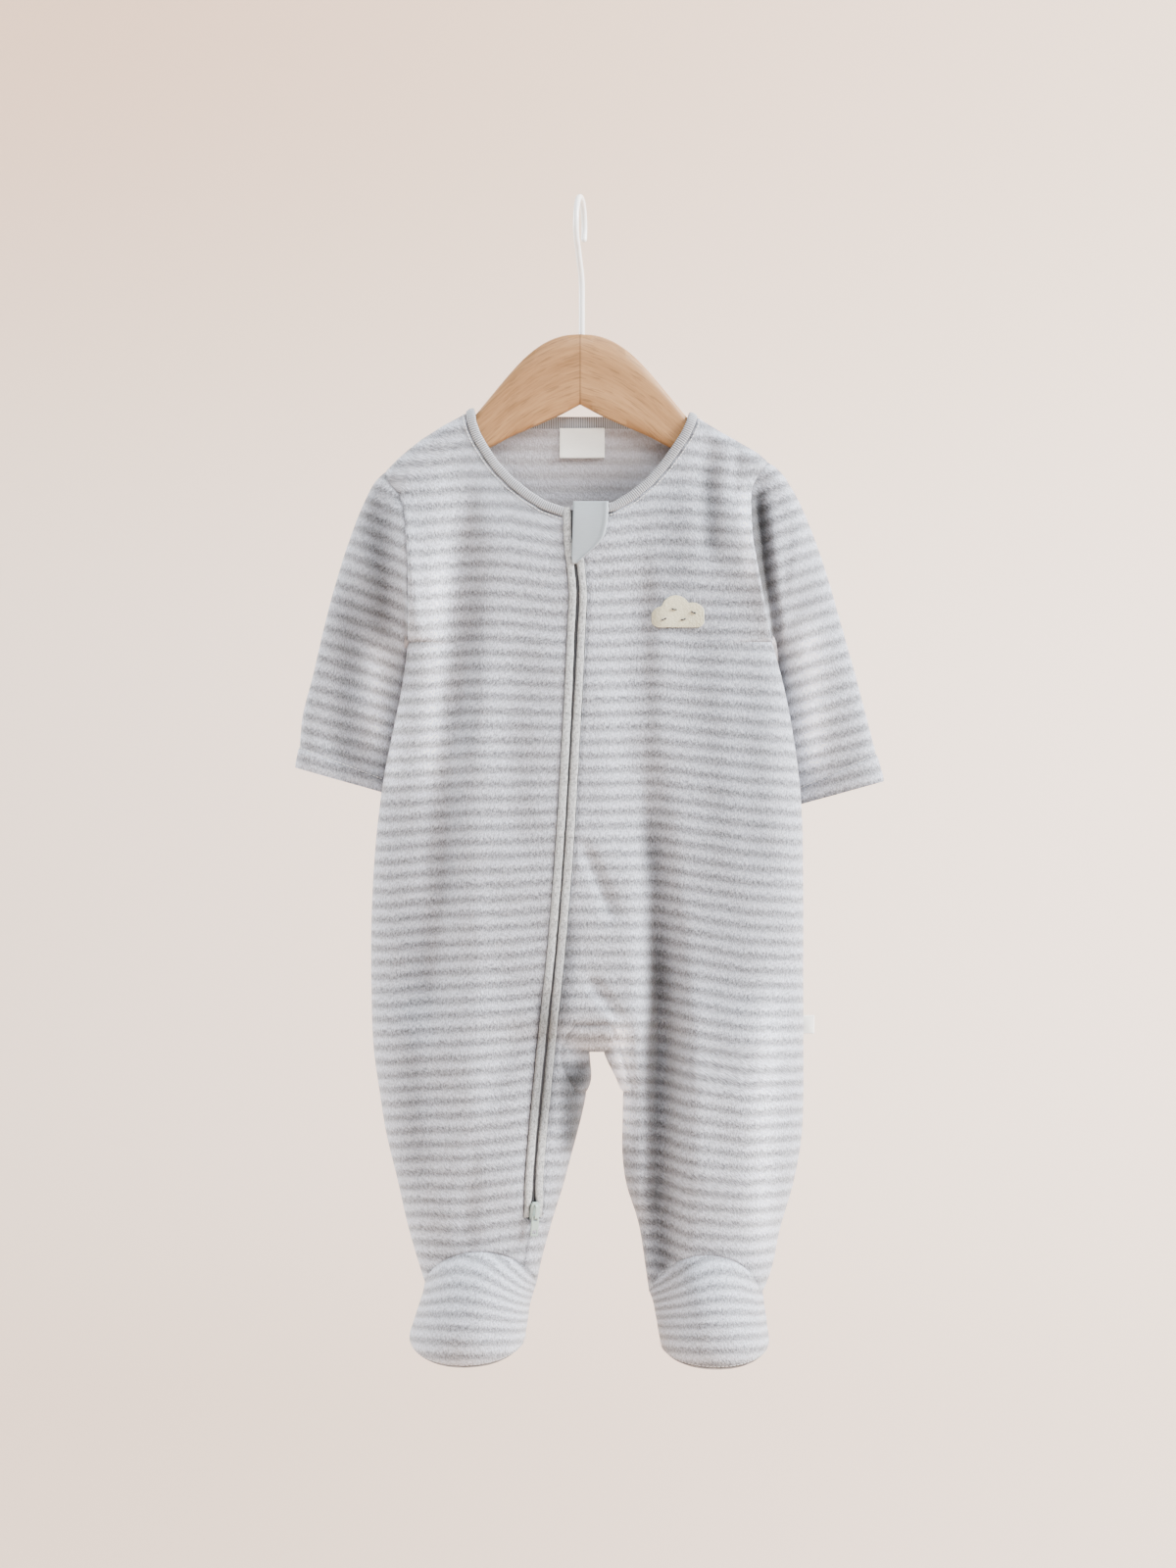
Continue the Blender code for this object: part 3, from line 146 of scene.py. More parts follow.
# The zip's centre line, from the chin to the left leg's inner side, and the seam below it
ZIP = Table("height across", [
    (-130, -5), (-189, -5), (-213, -4.2), (-226, -2.6), (-240, -1.4), (-262, -2.3), (-298, -3.9),
    (-322, -5.2), (-358, -7.2), (-394, -9.4), (-430, -12.1), (-466, -15.3), (-502, -19.1),
    (-538, -22.7), (-574, -26.1), (-598, -27.9), (-621.5, -28.9), (-640, -32.2), (-675, -38)])

# The shoulder seams and the neckline, as seen from the front. A path starts at the tip.
SHOULDER_LEFT = [
    (-119.4, -166.2), (-111.6, -158.4), (-105, -152.6), (-95.4, -145.2), (-82.8, -137.4),
    (-70.2, -130.6)]
SHOULDER_RIGHT = [
    (115.2, -160.4), (108.6, -154.6), (97.2, -148), (85.8, -141.6), (72, -133.2)]
NECK_FRONT_LEFT = [
    (-70.2, -130.6), (-69.4, -137), (-66.4, -145.6), (-61.2, -154.6), (-54.6, -164.4),
    (-44.4, -175.2), (-34.2, -183.4), (-23.4, -190.2), (-10.9, -194.6)]
NECK_FRONT_RIGHT = [
    (72, -133.2), (70.6, -138), (67.2, -145.4), (60, -156.2), (52.8, -165.8), (44.4, -175.2),
    (33, -184.6), (22, -191.2), (0.9, -195.4)]
NECK_BACK_LEFT = [
    (-70.2, -130.6), (-69.6, -136), (-60, -137.4), (-46, -138), (-20, -138.2), (4, -138.2)]
NECK_BACK_RIGHT = [
    (72, -133.2), (71.2, -138.2), (62, -138.6), (48, -138.4), (20, -138.2), (4, -138.2)]
# The shoulder line carried on over the neck, which the depth is measured down from
CREST = (SHOULDER_LEFT + [(-40.0, -118.0), (0.0, -112.0), (40.0, -118.0)]
         + SHOULDER_RIGHT[::-1])

# Folds of the cloth by side, as in the solids: a soft trough or ridge along a line.
# Columns: x and height at the top, x and height at the foot, the half width on its
# left and on its right, and the depth inwards.
FOLDS = {
    "front": [
        (47, -385, 51, -672, 11, 11, 7), (36, -440, 36, -640, 7, 7, -1.6),
        (68, -420, 70, -640, 9, 9, -1.4), (-62, -215, -66, -640, 10, 10, -1.8),
        (-84, -330, -88, -610, 10, 10, 2.2), (-40, -230, -38, -420, 11, 11, 1.8),
        (30, -250, 24, -420, 12, 12, 1.6), (86, -215, 92, -440, 12, 12, -1.8),
        (-34, -496, -58, -560, 8, 8, 1.6)],
    "back": [
        (58, -330, 66, -640, 12, 12, 4), (-48, -360, -58, -640, 12, 12, 4),
        (6, -180, 10, -400, 14, 14, 2.4), (-76, -220, -84, -420, 12, 12, -1.8),
        (84, -220, 92, -420, 12, 12, -1.8)],
}
# Smaller creases of the cloth itself, with the same columns
CREASES = {
    "front": [
        (-69, -160, -76, -345, 12, 9, 6.6), (-75, -275, -99, -525, 12, 9, 6),
        (37, -195, 41, -430, 18, 7, 4), (42, -325, 52, -575, 9, 10.5, 7.5),
        (52, -455, 49, -690, 9, 10.5, 9), (-1, -388, 22, -444, 4, 5, 2.8),
        (2, -472, 27, -504, 4, 4.5, 2.8), (78, -128, 80, -232, 7, 7, 3.6),
        (97, -142, 94, -190, 3.5, 4, 2.4), (-64, -560, -70, -650, 6, 6, 1.6),
        (-114, -172, -108, -184, 1.6, 2.6, 1.2), (-104, -196, -96, -300, 5, 3, -1.2),
        (-2, -520, 2, -536, 9, 7, 2.2), (-4, -548, -1, -568, 2.2, 3, 1)],
    "back": [
        (-96, -200, -88, -310, 5, 5, 1.2), (98, -200, 92, -320, 5, 5, 1.2),
        (-20, -440, -30, -560, 7, 7, 1.4), (30, -430, 36, -560, 7, 7, 1.4)],
}

# Sleeves: the outer and the inner edge seen from the front, how far back each lies, half
# the sleeve's depth, and how far along the sleeve, from 0 at the armhole to 1 at the hem
SLEEVE_LEFT = Table("along outer_x outer_z inner_x inner_z outer_y inner_y depth", [
    (0, -119.4, -166.2, -106, -270.6, 0, 0, 17),
    (0.05, -125.8, -173, -106.4, -272.6, 0.3, 1.5, 17),
    (0.12, -132.6, -186, -106.2, -278, 1, 5, 16.4),
    (0.25, -141.6, -209, -105.8, -291, 2, 11.5, 15.4),
    (0.4, -150.4, -236.6, -105.2, -307, 3, 17.5, 14.6),
    (0.55, -157.4, -263.4, -105, -323, 4, 22, 14.2),
    (0.7, -163.8, -291, -104.8, -339, 4.6, 25.5, 14),
    (0.84, -170.4, -317.4, -105, -353, 5, 28, 14),
    (0.93, -172.2, -335.8, -104.6, -361.2, 5.2, 29.2, 14),
    (1, -174.6, -347.6, -104.2, -367.6, 5.2, 30, 14)])
SLEEVE_RIGHT = Table("along outer_x outer_z inner_x inner_z outer_y inner_y depth", [
    (0, 115.2, -160.4, 118, -270.6, 0, 0, 17), (0.05, 122.6, -166.4, 118.6, -272.2, 0.2, 0, 16),
    (0.12, 130.4, -178, 119.6, -278.4, 0.8, 3, 16),
    (0.25, 140.6, -199.6, 120.8, -292, 2, 12, 15.4),
    (0.4, 150.6, -227.6, 120.4, -308.6, 3, 18.5, 14.6),
    (0.55, 159.4, -257.8, 119.8, -325.6, 4, 23.5, 14.2),
    (0.7, 168.4, -289.6, 119.4, -342.6, 4.6, 27, 14),
    (0.84, 175.8, -317.6, 120, -358.4, 5, 29.5, 14),
    (0.93, 181.6, -339.8, 119, -367.6, 5.2, 30.6, 14),
    (1, 186.2, -356, 118.2, -374.8, 5.2, 31.4, 14)])
HEM_STEP = 0.925
HEM_GROOVE = 0.9255
HEM_RAISE = 0.6
HEM_STITCHED = 0.9265
SLEEVES = {"left": SLEEVE_LEFT, "right": SLEEVE_RIGHT}

# Feet: the sole's heel and toe, its half widths there, the height of the ankle's seam,
# and how far the seam rises over the instep
FEET = {
    "left": {"heel": (-66.0, 25.0, -682.0), "toe": (-70.8, -43.0, -711.0), "half_heel": 26.5,
             "half_toe": 34.8, "ankle": -662.0, "rise": 19.5},
    "right": {"heel": (81.0, 25.0, -688.0), "toe": (82.8, -42.0, -712.0), "half_heel": 25.0,
              "half_toe": 32.7, "ankle": -668.0, "rise": 23.5},
}

# Where the shoulders' columns lie, in from each side and along the shoulder seam
LEFT_SHARES = [0, 0.02, 0.065, 0.14, 0.25]
RIGHT_SHARES = [0, 0.025, 0.085, 0.18, 0.31]
SHOULDER_SHARES = [0, 0.25, 0.5, 0.75, 1.0]

# The hanger's half outline from its middle: how far out, its top and its underside
HANGER = Table("across top underside", [
    (0, -82.2, -125.4), (11, -83.4, -131.2), (22, -87.8, -136.2), (33, -96, -141),
    (43, -106.4, -145.4), (53.5, -119, -151), (63.5, -131.2, -156), (70, -138.6, -159.2),
    (84, -145.6, -166), (96, -152.4, -171), (104, -157.6, -173)])
HANGER_THICK = 12.0
HANGER_ROUND = 3.6
HANGER_END = (108.5, -164.5)
WIRE_RADIUS = 1.8
HOOK_RADIUS = 17.4
HOOK_TURN = math.radians(8.5)
HOOK_SHIFT = 1.0
STEM_DEPTH = 14.0

# The ribbon tab that covers the zip's top: its left and right edge at each height
GARAGE = Table("height left right", [
    (-185.6, -4.3, 17.3), (-191, -4.3, 17.1), (-197.4, -4.4, 16.8), (-203, -4.6, 15.8),
    (-207.6, -4.7, 14.2), (-211.8, -4.9, 10.8), (-215.4, -4.9, 6.8), (-220, -5, 1.4),
    (-223.6, -4.6, -2.4)])
GARAGE_LIFT, GARAGE_THICK = 1.5, 1.0
NECK_LABEL = {"left": -12.6, "right": 15.0, "top": -139.2, "foot": -157.2}
SIDE_TAG = {"left": 136.2, "right": 143.4, "top": -499.2, "foot": -510.6, "half_thick": 0.5}
# The chest patch, a cloud: its middle, its lobes (across, up, radius) and its flat base
PATCH_MIDDLE = (59.7, -253.6)
PATCH_LOBES = [(-9.6, -2.6, 6.8), (-1.5, 2.4, 8.6), (9.0, -0.8, 7.4)]
PATCH_BASE = -8.6
PATCH_LIFT = 0.35

# Stripes: their periods, and how far they drop at each height, along the lines at
# DROP_LEFT on the zip's left and at DROP_RIGHT on its right
STRIPE_PERIOD = 9.0
BACK_PERIOD = 8.3
SLEEVE_PERIOD = 8.7
FOOT_PERIOD = 8.6
DROP_LEFT = (-115.0, -97.0, -70.0, -43.0, -16.0)
DROP_RIGHT = (11.0, 47.0, 65.0, 101.0, 131.0)
DROP = Table("height l0 l1 l2 l3 l4 r0 r1 r2 r3 r4", [
    (-130, -1, -1, -4.9, -4.5, 0, 3, 0.3, -0.3, 4.4, 3),
    (-184, -2, -2.3, -4.4, -3.8, 1.6, 4.6, 0.3, 0.2, 4.1, 1),
    (-220, -1.5, -1.3, -4, -3.3, 1.3, 3.5, 0.5, 0.9, 3.5, 2),
    (-256, -1.5, -1, -3.8, -3.2, -0.1, 1.6, -0.2, 1.4, 2, 3),
    (-328, -1.1, -1.3, -4.1, -3.9, -3.3, -2.8, -4.1, -1.7, 2.2, 4.5),
    (-400, -1.6, -3.5, -5.4, -5.7, -7.4, -7, -7.4, -4.2, 1.6, 4),
    (-472, -3.8, -5.9, -7.5, -8.6, -11.9, -10.5, -9.8, -5.9, 0.8, 1.9),
    (-544, -6.9, -8.9, -9.9, -12, -16.6, -14, -12.4, -8, -1.8, -2.5),
    (-616, -10.5, -12.3, -11.8, -15.6, -19.1, -17, -15.3, -9.3, -5.6, -7.5),
    (-680, -14, -16, -14, -18, -21.5, -20, -18, -10.5, -8, -10)])
SLEEVE_DROP = Table("height left right", [
    (-160, -7.2, -7.8), (-213.6, -2.8, -3), (-242.4, -0.3, -0.4), (-271.2, 1.9, 2.2),
    (-300, 4.2, 4.5), (-328.8, 5.1, 6.4), (-360, 5.4, 6.6)])
SLEEVE_SLOPE = Table("along left right", [
    (0, 0.4, 0.36), (0.3, 0.34, 0.32), (0.7, 0.28, 0.28), (1, 0.25, 0.25)])
FOOT_STRIPES = {
    "left": {"tilt": 0.14, "arch": 0.017, "high": -2.2, "low": -3.2},
    "right": {"tilt": -0.10, "arch": 0.016, "high": -1.8, "low": -6.5},
}
# Creases of the sleeves, with the folds' columns
SLEEVE_CREASES = {
    "left": [
        (-128, -196, -112, -268, 4, 4, 0.9), (-138, -262, -112, -300, 5, 5, 1),
        (-150, -300, -116, -322, 6, 6, -0.9), (-160, -322, -140, -350, 4, 4, 0.8)],
    "right": [
        (105.5, -160, 123, -310, 4.5, 4.5, 7), (128, -190, 124, -262, 4, 4, 0.9),
        (150, -262, 126, -304, 5, 5, 1), (164, -300, 130, -326, 6, 6, -0.9),
        (172, -326, 156, -354, 4, 4, 0.8)],
}
# Painted shade and painted highlight over the folds: darker where shade falls in a trough, paler
# where light falls on a ridge. The columns are the folds', with how much darker in place of the
# depth.
PAINTED_SHADING_LINES = {
    "front": [
        (-84, -141.6, -85.8, -261.6, 9.6, 9, -0.25),
        (-85.8, -201.6, -92.4, -381.6, 10.2, 8.4, -0.65),
        (-114, -285.6, -116.4, -369.6, 7.2, 9.6, -0.55),
        (-63, -225.6, -70.8, -357.6, 6.6, 7.2, 0.32), (-72, -333.6, -85.2, -447.6, 7.2, 7.8, 0.3),
        (-100.8, -405.6, -100.8, -627.6, 9.6, 9, 0.36),
        (-4.8, -429.6, -11.4, -513.6, 4.8, 5.4, 0.75), (-18, -471.6, -25.2, -579.6, 5.4, 6, 2.4),
        (-6, -519.6, -4.2, -588.6, 6.6, 7.2, 2), (0, -525.6, 0, -544.8, 4.2, 4.2, 1.4),
        (22.8, -486.6, 27.6, -585.6, 5.4, 7.2, -1.1), (42.6, -363.6, 48.6, -501.6, 6, 7.2, 0.8),
        (47.4, -435.6, 46.2, -627.6, 6, 7.8, 1.25), (45, -585.6, 53.4, -684.6, 6.6, 7.2, 1),
        (87.6, -177.6, 90, -555.6, 25.2, 24, 0.38), (108, -249.6, 110.4, -441.6, 10.8, 10.8, 0.28),
        (78, -153.6, 79.8, -222.6, 5.4, 4.8, 0.8), (62.4, -159.6, 55.2, -279.6, 13.2, 12, 0.4),
        (97.8, -159.6, 105, -243.6, 4.8, 4.2, -0.8),
        (116.4, -453.6, 109.2, -675.6, 10.8, 9.6, -0.55)],
    "right": [
        (107.4, -166.8, 112.8, -255.6, 4.8, 6, 2.4), (115.8, -225.6, 126, -318.6, 3.6, 3.6, 0.8),
        (139.2, -243.6, 145.2, -363.6, 9, 9.6, -1)],
    "left": [
        (-125.4, -165.6, -121.2, -279.6, 9.6, 7.8, 1),
        (-139.2, -219.6, -145.2, -369.6, 9.6, 9.6, 0.75),
        (-125.4, -261.6, -125.4, -345.6, 6.6, 7.8, -0.6)],
    "back": [
        (58, -330, 66, -640, 9, 10, 0.6), (-48, -360, -58, -640, 10, 9, 0.6),
        (30, -200, 34, -420, 9, 9, -0.3), (-84, -200, -90, -430, 9, 9, -0.3)],
}
# Half the dark gap between the two welts at each height
ZIP_GAP = Table("height gap", [
    (-630, 2.2), (-622, 2.3), (-617, 2.5), (-612, 1.6), (-606, 1), (-598, 0.9), (-530, 0.8),
    (-450, 0.5), (-330, 0.55), (-260, 0.95), (-189, 0.65)])
RIB_PITCH = 1.38
# The patch's short dark stitches: across, up, length and turn
PATCH_DASHES = [
    (-8.6, -3.4, 3.6, 0.4), (-2.4, 2.6, 3.6, -0.2), (3, -3.6, 3.4, 0.2), (9.4, 0.6, 3.6, -0.4)]

# Things worked out once and kept: the welded skin and the materials
KEPT = {}


def smooth(t):
    """Rises from 0 to 1 with level ends: 3 t squared less 2 t cubed."""
    t = np.clip(t, 0, 1)
    return t * t * (3 - 2 * t)


def reach_along(points):
    """The length walked to each of a row of points, along the straight steps between."""
    steps = np.linalg.norm(np.diff(points, axis=0), axis=1)
    return np.concatenate([[0], np.cumsum(steps)])


def between(where, reach, rows):
    """Rows of numbers, read straight between their reaches at the reaches asked for."""
    return np.stack([np.interp(where, reach, c) for c in rows.T], axis=-1)


def walk(path, shares):
    """The points of a path at shares of its length, measured along its straight steps."""
    points = np.array(path, float)
    reach = reach_along(points)
    return between(np.asarray(shares) * reach[-1], reach, points)


def powered(values, power):
    """The size of each value to a power, with the value's sign."""
    return np.sign(values) * np.abs(values) ** power


def unit(vectors):
    """Each vector divided by its length."""
    return vectors / np.maximum(np.linalg.norm(vectors, axis=-1, keepdims=True), 1e-12)


# ------------ the body's surface


def round_off(t, power=2.3):
    """Depth of a flattened tube: a superellipse over t from -1 to 1."""
    return np.clip(1 - np.abs(t) ** power, 0, 1) ** (1 / power)


def across(x, left, right):
    """Where x lies between two edges, from -1 to 1."""
    return np.clip((2 * x - left - right) / np.maximum(right - left, 1e-6), -1, 1)


def armhole_depth(z):
    """Half the armhole's width: narrow over the hanger, then an ellipse to the underarm."""
    middle = -220.0
    upper = HELD_OPEN + (ARMHOLE_HALF - HELD_OPEN) * smooth((-168.0 - z) / 40.0)
    fall = np.clip((middle - z) / (middle - UNDERARM), 0, 1)
    return np.where(z >= middle, upper, ARMHOLE_HALF * np.sqrt(1 - fall**2))


def bells(rows, x, z, last=0.25):
    """Sum of a table's lines: each a bell across its line, fading in and out along it."""
    total = np.zeros(np.broadcast(x, z).shape)
    for x0, z0, x1, z1, half_left, half_right, depth in rows:
        length = math.hypot(x1 - x0, z1 - z0)
        ux, uz = (x1 - x0) / length, (z1 - z0) / length
        far = (x - x0) * ux + (z - z0) * uz
        off = (z - z0) * ux - (x - x0) * uz
        half = np.where(off < 0, half_left, half_right)
        ends = smooth(far / (0.3 * length)) * smooth((length - far) / (last * length))
        total = total + depth * ends * np.exp(-((off / half) ** 2))
    return total


def lumps(x, z):
    """The cloth's own unevenness: two crossings of long waves, a fraction of a mm high."""
    first = np.sin(x * 0.115 + z * 0.047 + 0.6) * np.sin(z * 0.083 - x * 0.021)
    second = np.sin(x * 0.21 - z * 0.13 + 2.0) * np.sin(z * 0.17 + x * 0.05 + 1.0)
    return 0.42 * first + 0.2 * second


def depth_at(side, x, z):
    """Half depth of the body or leg at points of its front or back.

    A superellipse across the width, widened by what the hanger and the armholes hold
    open, rolled over at the shoulder and closed at the crotch. Below the crotch the
    two legs are superellipses of their own. Folds and lumps are taken off at the end.
    """
    x, z = np.broadcast_arrays(np.asarray(x, float), np.asarray(z, float))
    left, right = BODY.at("left", z), BODY.at("right", z)
    full = BODY.at("fullness", z)
    below = np.clip(np.interp(x, *np.array(CREST).T) - z, 0, SHOULDER_ROLL)
    roll = np.sqrt(np.maximum(0, 1 - (1 - below / SHOULDER_ROLL) ** 2))
    t = across(x, left, right)
    edge = np.where(z < -150.0, np.abs(t) ** 10, 0.0)
    held = HELD_OPEN * smooth((z - UNDERARM) / 80.0)
    rim = np.where(z > UNDERARM, armhole_depth(z), 0.0)
    torso = roll * (rim * edge + held * (1 - edge) + full * round_off(t))
    closing = np.clip((z - CROTCH) / TORSO_CLOSES, 0, 1)
    torso = torso * np.sqrt(np.maximum(0, 1 - (1 - closing) ** 2))
    inner_left, inner_right = MIDDLE.at("inner_left", z), MIDDLE.at("inner_right", z)
    left_leg = np.where(x <= inner_left, round_off(across(x, left, inner_left)), 0.0)
    right_leg = np.where(x >= inner_right, round_off(across(x, inner_right, right)), 0.0)
    legs = full * (left_leg + right_leg) * (1 - smooth((z - CROTCH) / LEGS_BEGIN))
    depth = (torso**6 + legs**6) ** (1 / 6)
    shaped = bells(FOLDS[side] + CREASES[side], x, z) - lumps(x, z) * SIGN[side]
    return np.maximum(0.0, depth - shaped * smooth(depth / 14.0))


def surface(side, x, z):
    """Points on the body's front or back in mm."""
    return np.stack([x, SIGN[side] * depth_at(side, x, z), z], axis=-1)


def on_body(side, x, z, lift=0.0):
    """Points on the body's front or back in mm, moved out by lift along its normal.

    The normal is the cross product of the surface's slopes, taken over 0.6 mm.
    """
    x, z = np.broadcast_arrays(np.asarray(x, float), np.asarray(z, float))
    step = 0.6
    slope_x = (depth_at(side, x + step, z) - depth_at(side, x - step, z)) / (2 * step)
    slope_z = (depth_at(side, x, z + step) - depth_at(side, x, z - step)) / (2 * step)
    normal = unit(np.stack([-slope_x, np.full_like(slope_x, SIGN[side]), -slope_z], axis=-1))
    return surface(side, x, z) + normal * np.asarray(lift)[..., None], normal


# ------------ columns and rows


def zip_half(z):
    """Half the width that the zip and its welts take; it closes below the zip's end."""
    return WELT_HALF * smooth((z - ZIP_CLOSED) / (ZIP_END - ZIP_CLOSED))


def line_at(name, z):
    """Where one of the named lines that run down the body lies at a height."""
    if name in ("left", "right"):
        return BODY.at(name, z)
    if name == "zip_left":
        return ZIP.at("across", z) - zip_half(z)
    if name == "zip_right":
        return ZIP.at("across", z) + zip_half(z)
    return MIDDLE.at(name, z)


class Column:
    """A line down the skin: a share of the way between two named lines."""

    def __init__(self, first, last, share, top, path=None, place=0.0):
        self.first, self.last, self.share = first, last, share
        self.path, self.place = path, place
        self.top = walk(path, place) if path else np.array(top, float)
        start, end = line_at(first, self.top[1]), line_at(last, self.top[1])
        self.top_share = (self.top[0] - start) / (end - start)

    def across_at(self, z, blend=1.0):
        """Between the two lines, from the share at its top to its own share by blend."""
        share = self.top_share + (self.share - self.top_share) * smooth(blend)
        start, end = line_at(self.first, z), line_at(self.last, z)
        return start + (end - start) * share


def eased(count, ease):
    """Shares from 0 to 1, drawn together at an end where the cloth turns over an edge."""
    u = np.linspace(0, 1, count + 1)
    if ease == "start":
        return u**2.3
    return 1 - (1 - u) ** 2.3 if ease == "end" else u


def upper_shares():
    """Rows from the top to the underarm: close at the roll and at the underarm."""
    top = 0.08 * np.linspace(0, 1, 9) ** 2
    foot = 1 - 0.1 * np.linspace(1, 0, 10) ** 2
    return np.concatenate([top, np.linspace(0.08, 0.9, 36)[1:-1], foot])


def middle_heights():
    """Rows from the underarm to the legs' inner tip, drawn together at the crotch."""
    body = np.linspace(UNDERARM, GUSSET_TOP, 92)[1:-1]
    crotch = CROTCH + (GUSSET_TOP - CROTCH) * np.linspace(1, 0, 12) ** 2
    return np.concatenate([body, crotch, np.linspace(CROTCH, INNER_TIP, 11)[1:]])


def foot_height(side, leg, x):
    """Height of the leg's lower edge: an arch over the instep in front, level behind."""
    foot = FEET[leg]
    lines = ("left", "inner_left") if leg == "left" else ("inner_right", "right")
    t = across(x, *[line_at(name, foot["ankle"]) for name in lines])
    arch = foot["rise"] * (1 - t * t) ** 0.8 if side == "front" else 0.0 * t
    return foot["ankle"] + arch


def zone_grid(side, leg, columns, first_edge=False, last_edge=False):
    """One zone of the skin: x and z on a grid, and the columns' interval of each cell.

    Between two columns, x is their straight mean at each row, and the top and the foot
    follow the true lines of the neck, the shoulder and the instep.
    """
    upper, middle, lower = upper_shares(), middle_heights(), np.linspace(0, 1, 50)[1:]
    all_x, all_z, cells = [], [], []
    for k, (one, two) in enumerate(zip(columns, columns[1:])):
        width = abs(two.across_at(-400.0) - one.across_at(-400.0))
        ease = "start" if first_edge and k == 0 else None
        ease = "end" if last_edge and k == len(columns) - 2 else ease
        count = max(7 if ease else 3, math.ceil(width / GRID_STEP))
        w = eased(count, ease)
        w = w if k == 0 else w[1:]
        chord = one.top + (two.top - one.top) * w[:, None]
        true = chord
        if one.path is not None and two.path is not None:
            path = two.path if one.place in (0.0, 1.0) else one.path
            ends = [c.place if c.path is path else 0.0 for c in (one, two)]
            true = walk(path, ends[0] + (ends[1] - ends[0]) * w)
        down = upper[:, None]
        z1 = one.top[1] + (UNDERARM - one.top[1]) * upper
        z2 = two.top[1] + (UNDERARM - two.top[1]) * upper
        x = one.across_at(z1, upper)[:, None] * (1 - w) + two.across_at(z2, upper)[:, None] * w
        x = x + (true[:, 0] - chord[:, 0]) * (1 - down)
        z = true[:, 1] + (UNDERARM - true[:, 1]) * down
        xm = one.across_at(middle)[:, None] * (1 - w) + two.across_at(middle)[:, None] * w
        ends = [c.across_at(-660.0) for c in (one, two)]
        feet = foot_height(side, leg, np.array(ends))
        fine = foot_height(side, leg, ends[0] + (ends[1] - ends[0]) * w)
        z1, z2 = (INNER_TIP + (f - INNER_TIP) * lower for f in feet)
        xl = one.across_at(z1)[:, None] * (1 - w) + two.across_at(z2)[:, None] * w
        zl = INNER_TIP + (fine - INNER_TIP) * lower[:, None]
        all_x.append(np.concatenate([x, xm, xl]))
        all_z.append(np.concatenate([z, np.repeat(middle[:, None], len(w), 1), zl]))
        cells += [k] * count
    return np.concatenate(all_x, axis=1), np.concatenate(all_z, axis=1), np.array(cells)


def columns_on(path, places, first, last, shares):
    """Columns between two lines that start on a path, at places along it."""
    return [Column(first, last, share, None, path, place)
            for share, place in zip(shares, places)]


def left_shoulder():
    """The left shoulder's columns, from the side edge in to the neck point."""
    return columns_on(SHOULDER_LEFT, SHOULDER_SHARES, "left", "zip_left", LEFT_SHARES)


def right_shoulder():
    """The right shoulder's columns, from the neck point out to the side edge."""
    shares = [1 - share for share in RIGHT_SHARES[::-1]]
    return columns_on(SHOULDER_RIGHT, SHOULDER_SHARES[::-1], "seam_right", "right", shares)


def front_columns():
    """The front's four zones, each a list of columns from the left to the right."""
    a = left_shoulder()
    a += columns_on(NECK_FRONT_LEFT, [0.07, 0.24, 0.45, 0.64, 0.83, 1.0], "left", "zip_left",
                    [0.33, 0.44, 0.57, 0.71, 0.86, 1.0])
    b = [Column("zip_right", "seam_left", share, (x, -195.2))
         for share, x in [(0.0, 0.9), (0.5, 5.6), (1.0, 10.5)]]
    b += [Column("seam_left", "inner_left", share, top)
          for share, top in [(0.6, (12.2, -195.0)), (1.0, (13.5, -194.6))]]
    c = [Column("inner_right", "seam_right", share, top)
         for share, top in [(0.0, (20.0, -192.0)), (0.4, (23.2, -190.4)), (1.0, (27.0, -188.2))]]
    c += columns_on(NECK_FRONT_RIGHT, [0.58, 0.40, 0.22, 0.065], "seam_right", "right",
                    [0.15, 0.31, 0.46, 0.59])
    c += right_shoulder()
    halfway = Column("inner_left", "inner_right", 0.5, (16.8, -193.4))
    return a, b, [b[-1], halfway, c[0]], c


def back_columns():
    """The back's three zones, in the same order as the front's."""
    left = left_shoulder()
    left += columns_on(NECK_BACK_LEFT, [0.08, 0.26, 0.52, 0.77], "left", "seam_left",
                       [0.35, 0.50, 0.66, 0.83])
    left += [Column("seam_left", "inner_left", share, (x, NECK_BACK))
             for share, x in [(0.0, -2.0), (0.6, 2.0), (1.0, 6.0)]]
    right = [Column("inner_right", "seam_right", share, (x, NECK_BACK))
             for share, x in [(0.0, 14.0), (0.4, 18.0), (1.0, 22.0)]]
    right += columns_on(NECK_BACK_RIGHT, [0.68, 0.46, 0.24, 0.075], "seam_right", "right",
                        [0.15, 0.31, 0.46, 0.59])
    right += right_shoulder()
    halfway = Column("inner_left", "inner_right", 0.5, (10.0, NECK_BACK))
    return left, [left[-1], halfway, right[0]], right


# ------------ the skin


